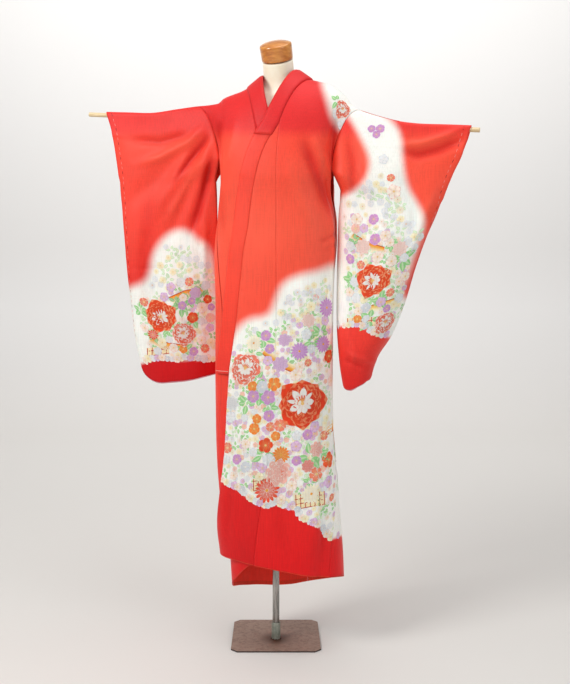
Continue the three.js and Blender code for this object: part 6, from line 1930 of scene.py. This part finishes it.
def make_pattern():
    outs = {k: dict(v=[], n=[], c=[], f=[], count=0) for k in PIECES}
    chart = lambda *keys: [(k, CHARTS[k]) for k in keys]
    pale = ["cream", "mist", "blush", "blush", "leaf", "leaf", "lilac", "cream"]
    faint = ["mist", "mist", "cream", "leaf"]
    dense_f = [(232, 350), (246, 338), (262, 332), (288, 325), (296, 300), (332, 292), (343, 320), (342, 528), (327, 528), (300, 508), (262, 500), (240, 485), (219, 472), (221, 400)]
    haze_f = [(284, 292), (331, 274), (331, 300), (296, 304), (290, 322), (258, 332), (240, 340), (250, 326), (276, 318)]
    front = chart(("body_left", "f"), ("okumi_left", "f"))
    flip = lambda rows: [([(560 - x, y) for x, y in b[0]], *b[1:]) for b in rows]
    rows_f = settle(FRONT, dense_f, 31)
    bands_f = held(flip(FRONT_BANDS), dense_f)
    pattern(front, rows_f, bands_f, [(310, 500, 30, 14, 0.15), (262, 484, 18, 12, 0.1)], [], outs,
            [(dense_f, 6.3, pale + ["pink", "lilac", "green"]), (haze_f, 6.8, faint)], 3)
    pattern(chart(("body_left", "f")), [(k, x - 3, y + 6, r, tone, turn + 1.7) for k, x, y, r, tone, turn in SHOULDER[::2]], [], [], [], outs)
    zone = [(136, 300), (160, 292), (176, 276), (215, 266), (215, 356), (150, 358), (142, 335)]
    haze = [(152, 275), (165, 245), (190, 245), (214, 268), (176, 276), (160, 292), (136, 298)]
    rows_r = settle(SLEEVE_R, zone, 32)
    pattern(chart(("sleeve_right", "f")), rows_r, [([(170, 300), (186, 294), (206, 290)], [5, 7, 5], "gold"), ([(150, 340), (165, 346), (182, 347)], [5, 7, 4], "gold")], [(158, 351, 22, 8, 0.1)], [], outs, [(zone, 6.3, pale + ["green"]), (haze, 7.6, faint)], 5)
    zone = [(343, 210), (376, 212), (398, 236), (412, 250), (404, 320), (388, 334), (345, 326)]
    haze = [(345, 205), (372, 175), (384, 170), (400, 200), (424, 240), (412, 262), (398, 236), (376, 212)]
    top = [(348, 116), (388, 121), (397, 150), (400, 200), (386, 196), (377, 150), (354, 128)]
    rows_l = settle([m for m in SLEEVE_L if m[2] >= 200], zone, 33)
    pattern(chart(("sleeve_left", "f")), rows_l + settle([m for m in SLEEVE_L if m[2] < 200], top, 34),
            [([(352, 236), (366, 246), (384, 250)], [5, 8, 5], "gold"), ([(360, 312), (378, 308), (398, 300)], [5, 8, 5], "goldcream")], [(362, 322, 30, 9, 0.05)], [], outs, [(zone, 6.3, pale + ["green"]), (haze, 7.6, faint)], 7)
    scallops(front, EDGE_FRONT, outs, 21)
    scallops(chart(("sleeve_right", "f")), EDGE_RIGHT, outs, 22)
    scallops(chart(("sleeve_left", "f")), EDGE_LEFT, outs, 23)
    scallops(chart(("sleeve_right", "b")), EDGE_RIGHT, outs, 24)
    scallops(chart(("sleeve_left", "b")), EDGE_LEFT, outs, 25)
    scallops(chart(("body_left", "b"), ("body_right", "b")), EDGE_BACK, outs, 26, 6.0)
    # hidden sides: the same flowers in another arrangement
    dense_b = [(262, 400), (290, 370), (318, 330), (343, 300), (343, 528), (300, 545), (262, 552)]
    pattern(chart(("body_left", "b"), ("body_right", "b")), [m for m in shifted(rows_f, 2, 34) if m[2] < 532 and (m[1] > 262 or m[2] > 412)], [b for b in bands_shifted(bands_f, 0, 34) if max(y for x, y in b[0]) < 528], [], [], outs, [(dense_b, 8.6, pale)], 9)
    dense_c = [(244, 420), (262, 400), (262, 552), (242, 540)]
    low = [m for m in rows_f if m[2] > 385]
    pattern(chart(("body_right", "b"), ("body_left", "b")), [m for m in shifted(low, -30, 40, None)[::2] if m[1] > 244 and m[2] < 535], [], [], [], outs, [(dense_c, 8.6, pale)], 11)
    zone = [(136, 305), (160, 292), (176, 276), (215, 270), (215, 350), (150, 355), (142, 335)]
    pattern(chart(("sleeve_right", "b")), shifted(rows_r, 0, 0, 174), [([(150, 300), (166, 306), (182, 304)], [5, 7, 5], "gold")], [(160, 352, 26, 9, 0.1)], [], outs, [(zone, 8.6, pale)], 13)
    zone = [(343, 232), (372, 222), (398, 236), (412, 250), (402, 320), (386, 332), (345, 324)]
    pattern(chart(("sleeve_left", "b")), shifted(rows_l, 0, 0, 372), [([(354, 296), (370, 290), (388, 292)], [5, 7, 5], "gold")], [(368, 322, 40, 12, 0.05)], [], outs, [(zone, 8.6, pale)], 15)
    # basting stitches and piping of the sleeves
    for name in ("left", "right"):
        for face in "fb":
            c = CHARTS["sleeve_" + name, face]
            ny, nx = c.shape
            out = outs["sleeve_" + name]
            stitches(c, 20.0, 3, int(ny * 0.86), out, colour(244, 150, 140), colour(128, 16, 30))
            strip(c, ny - 2.55, ny - 1.75, 0.4, nx - 1.4, colour(226, 160, 176), 3, out)
    # the sleeve's top fold on the left shows the red of its back
    c = CHARTS["sleeve_left", "f"]
    strip(c, 0.2, 1.6, 0.5, c.shape[1] * 0.36, colour(206, 34, 40), 3, outs["sleeve_left"])
    # hem: a brighter line at the very edge of the fronts, and the facing inside the back
    for piece in ("body_left", "okumi_left", "body_right", "okumi_right"):
        c = CHARTS[piece, "f"]
        ny, nx = c.shape
        strip(c, ny - 1.5, ny - 1.22, 0.2, nx - 1.2, colour(240, 70, 46), 2, outs[piece])
    for piece in ("body_left", "body_right"):
        c = CHARTS[piece, "b"]
        ny, nx = c.shape
        strip(c, ny - 3.2, ny - 1.1, 0.5, nx - 1.5, colour(232, 60, 34), 1, outs[piece], flip=-1.0)
        strip(c, ny - 1.5, ny - 1.2, 0.2, nx - 1.2, colour(214, 50, 34), 2, outs[piece])
    # the collar's end: a pale thread line with a dark one above
    c = CHARTS["collar", "f"]
    ny, nx = c.shape
    for j in (1.2, ny - 2.2):
        strip(c, j, j + 0.28, 0.3, nx - 1.3, colour(240, 170, 160), 24, outs["collar"])
    for piece in PIECES:
        sheet_of(outs, piece)


make_pattern()


# ---------------------------------------------------------------- the form and its stand
def turned(name, profile, steps_round, material, node, matrix=None, offset=(0, 0, 0)):
    """A closed turned piece: (radius, height) pairs from the foot's middle to the top's middle."""
    prof = np.array(profile, float)
    a = np.linspace(0, 2 * np.pi, steps_round, endpoint=False)
    V, F = [], []
    for r, h in prof:
        V += [(r * math.cos(t), r * math.sin(t), h) for t in a]
    n, m = steps_round, len(prof)
    V = np.array(V)
    for k in range(m - 1):
        for i in range(n):
            F.append((k * n + i, k * n + (i + 1) % n, (k + 1) * n + (i + 1) % n, (k + 1) * n + i))
    if matrix is not None:
        V = V @ np.array(matrix).T
    V = V + np.array(offset)
    o = mesh_object(name, V, F, None, None, material)
    cap_ends(o, n, m)
    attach(o, "root")
    if node:
        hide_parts(node)
    return o


def cap_ends(o, n, m):
    import bmesh
    bm = bmesh.new()
    bm.from_mesh(o.data)
    bm.verts.ensure_lookup_table()
    for ring, flip in ((range(n), True), (range((m - 1) * n, m * n), False)):
        vs = [bm.verts[i] for i in ring]
        f = bm.faces.new(vs[::-1] if flip else vs)
        f.smooth = False
    bmesh.ops.remove_doubles(bm, verts=bm.verts, dist=1e-6)
    bmesh.ops.recalc_face_normals(bm, faces=bm.faces)
    bm.to_mesh(o.data)
    bm.free()


def axis_matrix(d):
    """Columns that turn the z axis to direction d."""
    w = unit(np.array(d, float))
    u = unit(np.cross([0, 1.0, 0.0], w))
    v = np.cross(w, u)
    return np.stack([u, v, w], 1)


def rounded_end(r, l, e=1.0, steps_=4):
    """Profile of a straight bar with softened ends."""
    out = []
    for k in range(steps_ + 1):
        t = k / steps_ * math.pi / 2
        out.append((r - e + e * math.sin(t), e - e * math.cos(t)))
    return out + [(rr, l - h) for rr, h in out[::-1]]


def make_form():
    zs = np.concatenate([np.linspace(1100, 1108, 3), np.linspace(1108, 1904, 110)[1:]])
    n = 96
    V, F = [], []
    for z in zs:
        a, b, y, lean = FORM(z, "half_width"), FORM(z, "half_depth"), FORM(z, "centre_y"), math.radians(FORM(z, "lean"))
        t = np.linspace(0, 2 * np.pi, n, endpoint=False)
        e = 2 / mix(2.25, 2, float(smooth(1780, 1830, z)))
        u, v = a * spow(np.cos(t), e), b * spow(np.sin(t), e)
        V.append(np.stack([u, y + v * math.cos(lean), z + v * math.sin(lean)], -1))
    V = np.concatenate(V)
    for k in range(len(zs) - 1):
        for i in range(n):
            F.append((k * n + i, k * n + (i + 1) % n, (k + 1) * n + (i + 1) % n, (k + 1) * n + i))
    o = mesh_object("dress_form", V, F, None, None, LINEN)
    cap_ends(o, n, len(zs))
    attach(o, "root")
    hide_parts("dress_form")
    return o


def make_stand():
    lean = math.radians(28)
    rx = np.array([[1, 0, 0], [0, math.cos(lean), -math.sin(lean)], [0, math.sin(lean), math.cos(lean)]])
    prof = [(49.6, 0), (50.8, 0.3), (51.4, 1), (51.8, 4), (53.0, 38), (53.2, 43)]
    prof += [(53.2 - 1.8 * (1 - math.cos(t)) - 4.8 * (t / 1.5708) ** 2, 44 + 7.6 * math.sin(t)) for t in np.linspace(0.1, 1.5, 7)]
    prof += [(41, 54.6), (34, 56.6), (26, 58.3), (17, 59.6), (8, 60.3), (1.0, 60.5)]
    turned("neck_block", prof, 96, CAP_WOOD, "neck_block", rx, (0, 17, 1906.5))
    a, b = np.array([-680.0, 0, 1760]), np.array([655.0, 0, 1637])
    turned("sleeve_rod", rounded_end(7.5, float(np.linalg.norm(b - a)), 0.9), 48, ROD_WOOD, "sleeve_rod", axis_matrix(b - a), a)
    turned("pole", rounded_end(11, 1154.7, 0.6), 64, STEEL, "pole", None, (0, 0, 5.3))
    # the socket: outside up, over the lip, down the inside
    r0, r1, h = 14.5, 11.3, 55.0
    ring = [(r0, 0), (r0, h - 1.0), (r0 - 0.3, h - 0.3), (r0 - 1.0, h), (r1 + 0.8, h), (r1 + 0.2, h - 0.3), (r1, h - 1.0), (r1, 0), (r0, 0)]
    n = 64
    V, F = [], []
    t = np.linspace(0, 2 * np.pi, n, endpoint=False)
    for r, z in ring[:-1]:
        V.append(np.stack([r * np.cos(t), r * np.sin(t), 0 * t + z + 5.3], -1))
    V = np.concatenate(V)
    m = len(ring) - 1
    for k in range(m):
        for i in range(n):
            k2 = (k + 1) % m
            F.append((k * n + i, k * n + (i + 1) % n, k2 * n + (i + 1) % n, k2 * n + i))
    o = mesh_object("socket", V, F, None, None, SOCKET_STEEL)
    o.data.polygons.foreach_set("use_smooth", np.ones(len(F), bool))
    fix_normals(o)
    mod_sharp(o)
    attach(o, "root"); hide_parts("socket")
    # weld bead round its foot: uneven beads of run metal
    V, F = [], []
    n, k = 120, 9
    for i in range(n):
        t = 2 * math.pi * i / n
        s = 2.6 + 0.5 * math.sin(9 * t) + 0.45 * math.sin(23 * t + 1)
        for j in range(k):
            g = math.pi / 2 * j / (k - 1)
            rr = 14.3 + s * math.cos(g) * 1.15
            V.append((rr * math.cos(t), rr * math.sin(t), 4.9 + s * math.sin(g) * 1.05))
    for i in range(n):
        for j in range(k - 1):
            i2 = (i + 1) % n
            F.append((i * k + j, i2 * k + j, i2 * k + j + 1, i * k + j + 1))
    o = mesh_object("socket_weld", V, F, None, None, WELD)
    fix_normals(o)
    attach(o, "root")
    # the base plate: a square with cut corners and softened edges
    turn = math.radians(17)
    c, q = 287 / 2, 287 / 2 - 20
    out = [(c, -q), (c, q), (q, c), (-q, c), (-c, q), (-c, -q), (-q, -c), (q, -c)]
    ca, sa = math.cos(turn), math.sin(turn)
    V = []
    levels = [(0.0, 0.6), (0.6, 0.0), (4.3, 0.0), (5.0, 0.7)]
    for z, inset in levels:
        for x, y in out:
            k = 1 - inset / c
            x2, y2 = x * k, y * k
            V.append((x2 * ca - y2 * sa - sa * 35, x2 * sa + y2 * ca + ca * 35, z))
    import bmesh
    bm = bmesh.new()
    vs = [bm.verts.new(np.array(v) * MM) for v in V]
    for l in range(len(levels) - 1):
        for i in range(8):
            bm.faces.new([vs[l * 8 + i], vs[l * 8 + (i + 1) % 8], vs[(l + 1) * 8 + (i + 1) % 8], vs[(l + 1) * 8 + i]])
    bm.faces.new([vs[i] for i in range(8)][::-1])
    bm.faces.new([vs[(len(levels) - 1) * 8 + i] for i in range(8)])
    bmesh.ops.recalc_face_normals(bm, faces=bm.faces)
    me = bpy.data.meshes.new("base_plate")
    bm.to_mesh(me)
    bm.free()
    o = bpy.data.objects.new("base_plate", me)
    bpy.context.collection.objects.link(o)
    me.materials.append(PLATE_MAT)
    me.materials.append(PLATE_EDGE)
    for poly in me.polygons:
        poly.material_index = 1 if abs(poly.normal.z) < 0.5 else 0
    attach(o, "root"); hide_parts("base_plate")


def fix_normals(o):
    import bmesh
    bm = bmesh.new()
    bm.from_mesh(o.data)
    bmesh.ops.recalc_face_normals(bm, faces=bm.faces)
    bm.to_mesh(o.data)
    bm.free()


def mod_sharp(o):
    import bmesh
    bm = bmesh.new()
    bm.from_mesh(o.data)
    for e in bm.edges:
        if len(e.link_faces) == 2 and e.calc_face_angle(0) > math.radians(50):
            e.smooth = False
    bm.to_mesh(o.data)
    bm.free()


make_form()
make_stand()


# ---------------------------------------------------------------- cuts of the sheets: declare() gathers their settings but passes them nowhere
CUTS = {
    "body_left": ((0.545, 1.75), 0.545 * 1.62, ["dress_form"]),
    "body_right": ((0.545, 1.75), 0.545 * 1.62, ["dress_form"]),
    "okumi_left": ((0.15, 1.42), 0.15 * 1.30, ["body_left", "body_right"]),
    "okumi_right": ((0.15, 1.38), 0.15 * 1.20, ["body_right"]),
    "collar": ((0.055, 2.15), None, ["dress_form"]),
    "over_collar": ((0.055, 0.95), None, ["collar"]),
    "sleeve_left": ((0.345, 1.80), None, ["sleeve_rod"]),
    "sleeve_right": ((0.345, 1.88), None, ["sleeve_rod"]),
}


def declare():
    for name, (flat, area, on) in CUTS.items():
        kw = dict(flat=flat, held="hung" if name.startswith("sleeve") else "draped", rests_on=on)
        if area:
            kw["area"] = area
        if TRIM.get(name):
            kw["with_pieces"] = TRIM[name]


# ---------------------------------------------------------------- floor, light and camera
def stage():
    m, nodes, links, b = new_material("paper")
    co = nodes.new("ShaderNodeTexCoord").outputs["Object"]
    cut = nodes.new("ShaderNodeSeparateXYZ")
    links.new(co, cut.inputs[0])
    # painted light: the paper, one colour, is painted darker on the floor and lighter up the wall
    r = ramp(nodes, links, cut.outputs["Z"], [(0.0, (0.735, 0.715, 0.69)), (0.45, (0.76, 0.745, 0.73)), (1.0, (0.81, 0.80, 0.79))])
    links.new(r.outputs["Color"], b.inputs["Base Color"])
    b.inputs["Roughness"].default_value = 0.75
    b.inputs["Specular IOR Level"].default_value = 0.25
    prof = [(-14.0, 0.0), (4.4, 0.0)]
    for k in range(1, 13):
        t = k / 12 * math.pi / 2
        prof.append((4.4 + 1.6 * math.sin(t), 1.6 - 1.6 * math.cos(t)))
    prof.append((6.0, 12.0))
    V, F = [], []
    a = VIEW["turn"]
    for d, z in prof:
        for w in (-20.0, 20.0):
            V.append((1000 * (-d * math.sin(a) + w * math.cos(a)), 1000 * (d * math.cos(a) + w * math.sin(a)), 1000 * z - 0.3))
    for k in range(len(prof) - 1):
        F.append((2 * k, 2 * k + 1, 2 * k + 3, 2 * k + 2))
    o = mesh_object("backdrop", V, F, None, None, m)
    return o


def area(name, loc, size, energy, target, tint=(1, 1, 1), size_y=None):
    from mathutils import Vector
    l = bpy.data.lights.new(name, "AREA")
    l.shape = "RECTANGLE"
    l.size, l.size_y = size, size_y or size
    l.energy = energy
    l.color = tint
    o = bpy.data.objects.new(name, l)
    o.location = loc
    o.rotation_euler = (Vector(target) - Vector(loc)).to_track_quat("-Z", "Y").to_euler()
    o.visible_camera = False
    bpy.context.collection.objects.link(o)
    return o


def lights():
    w = bpy.data.worlds.new("studio")
    bpy.context.scene.world = w
    w.use_nodes = True
    bg = w.node_tree.nodes["Background"]
    bg.inputs["Color"].default_value = (1.0, 0.995, 0.985, 1)
    bg.inputs["Strength"].default_value = 0.42
    a = VIEW["turn"]
    place = lambda right, back, up: (right * math.cos(a) - back * math.sin(a), right * math.sin(a) + back * math.cos(a), up)
    area("key", place(-2.6, -2.0, 3.1), 1.3, 82, (0, 0, 1.1), (1, 0.985, 0.96))
    area("fill", place(2.4, -2.6, 1.7), 2.0, 24, (0, 0, 1.0), (1, 0.99, 0.98))
    area("top", place(0.4, -0.6, 3.9), 2.0, 34, (0, 0, 0.6), (1, 1, 1))
    area("wall", place(0.0, 3.0, 5.4), 8.0, 182, tuple(place(0.0, 6.0, 3.0)), (1, 1, 1), 1.0)


def camera():
    c = bpy.data.cameras.new("camera")
    c.lens = VIEW["f"] * 36.0 / 684.0
    c.sensor_width = 36.0
    c.sensor_fit = "AUTO"
    c.shift_x = (285.0 - VIEW["cx"]) / 684.0
    c.shift_y = -(342.0 - VIEW["cy"]) / 684.0
    c.clip_end = 60
    o = bpy.data.objects.new("camera", c)
    o.location = EYE / 1000
    o.rotation_euler = (math.pi / 2, 0, VIEW["turn"])
    bpy.context.collection.objects.link(o)
    bpy.context.scene.camera = o


declare()
stage()
lights()
camera()
s = bpy.context.scene
s.view_settings.view_transform = "Standard"
s.view_settings.look = "None"
s.view_settings.exposure = 0.0
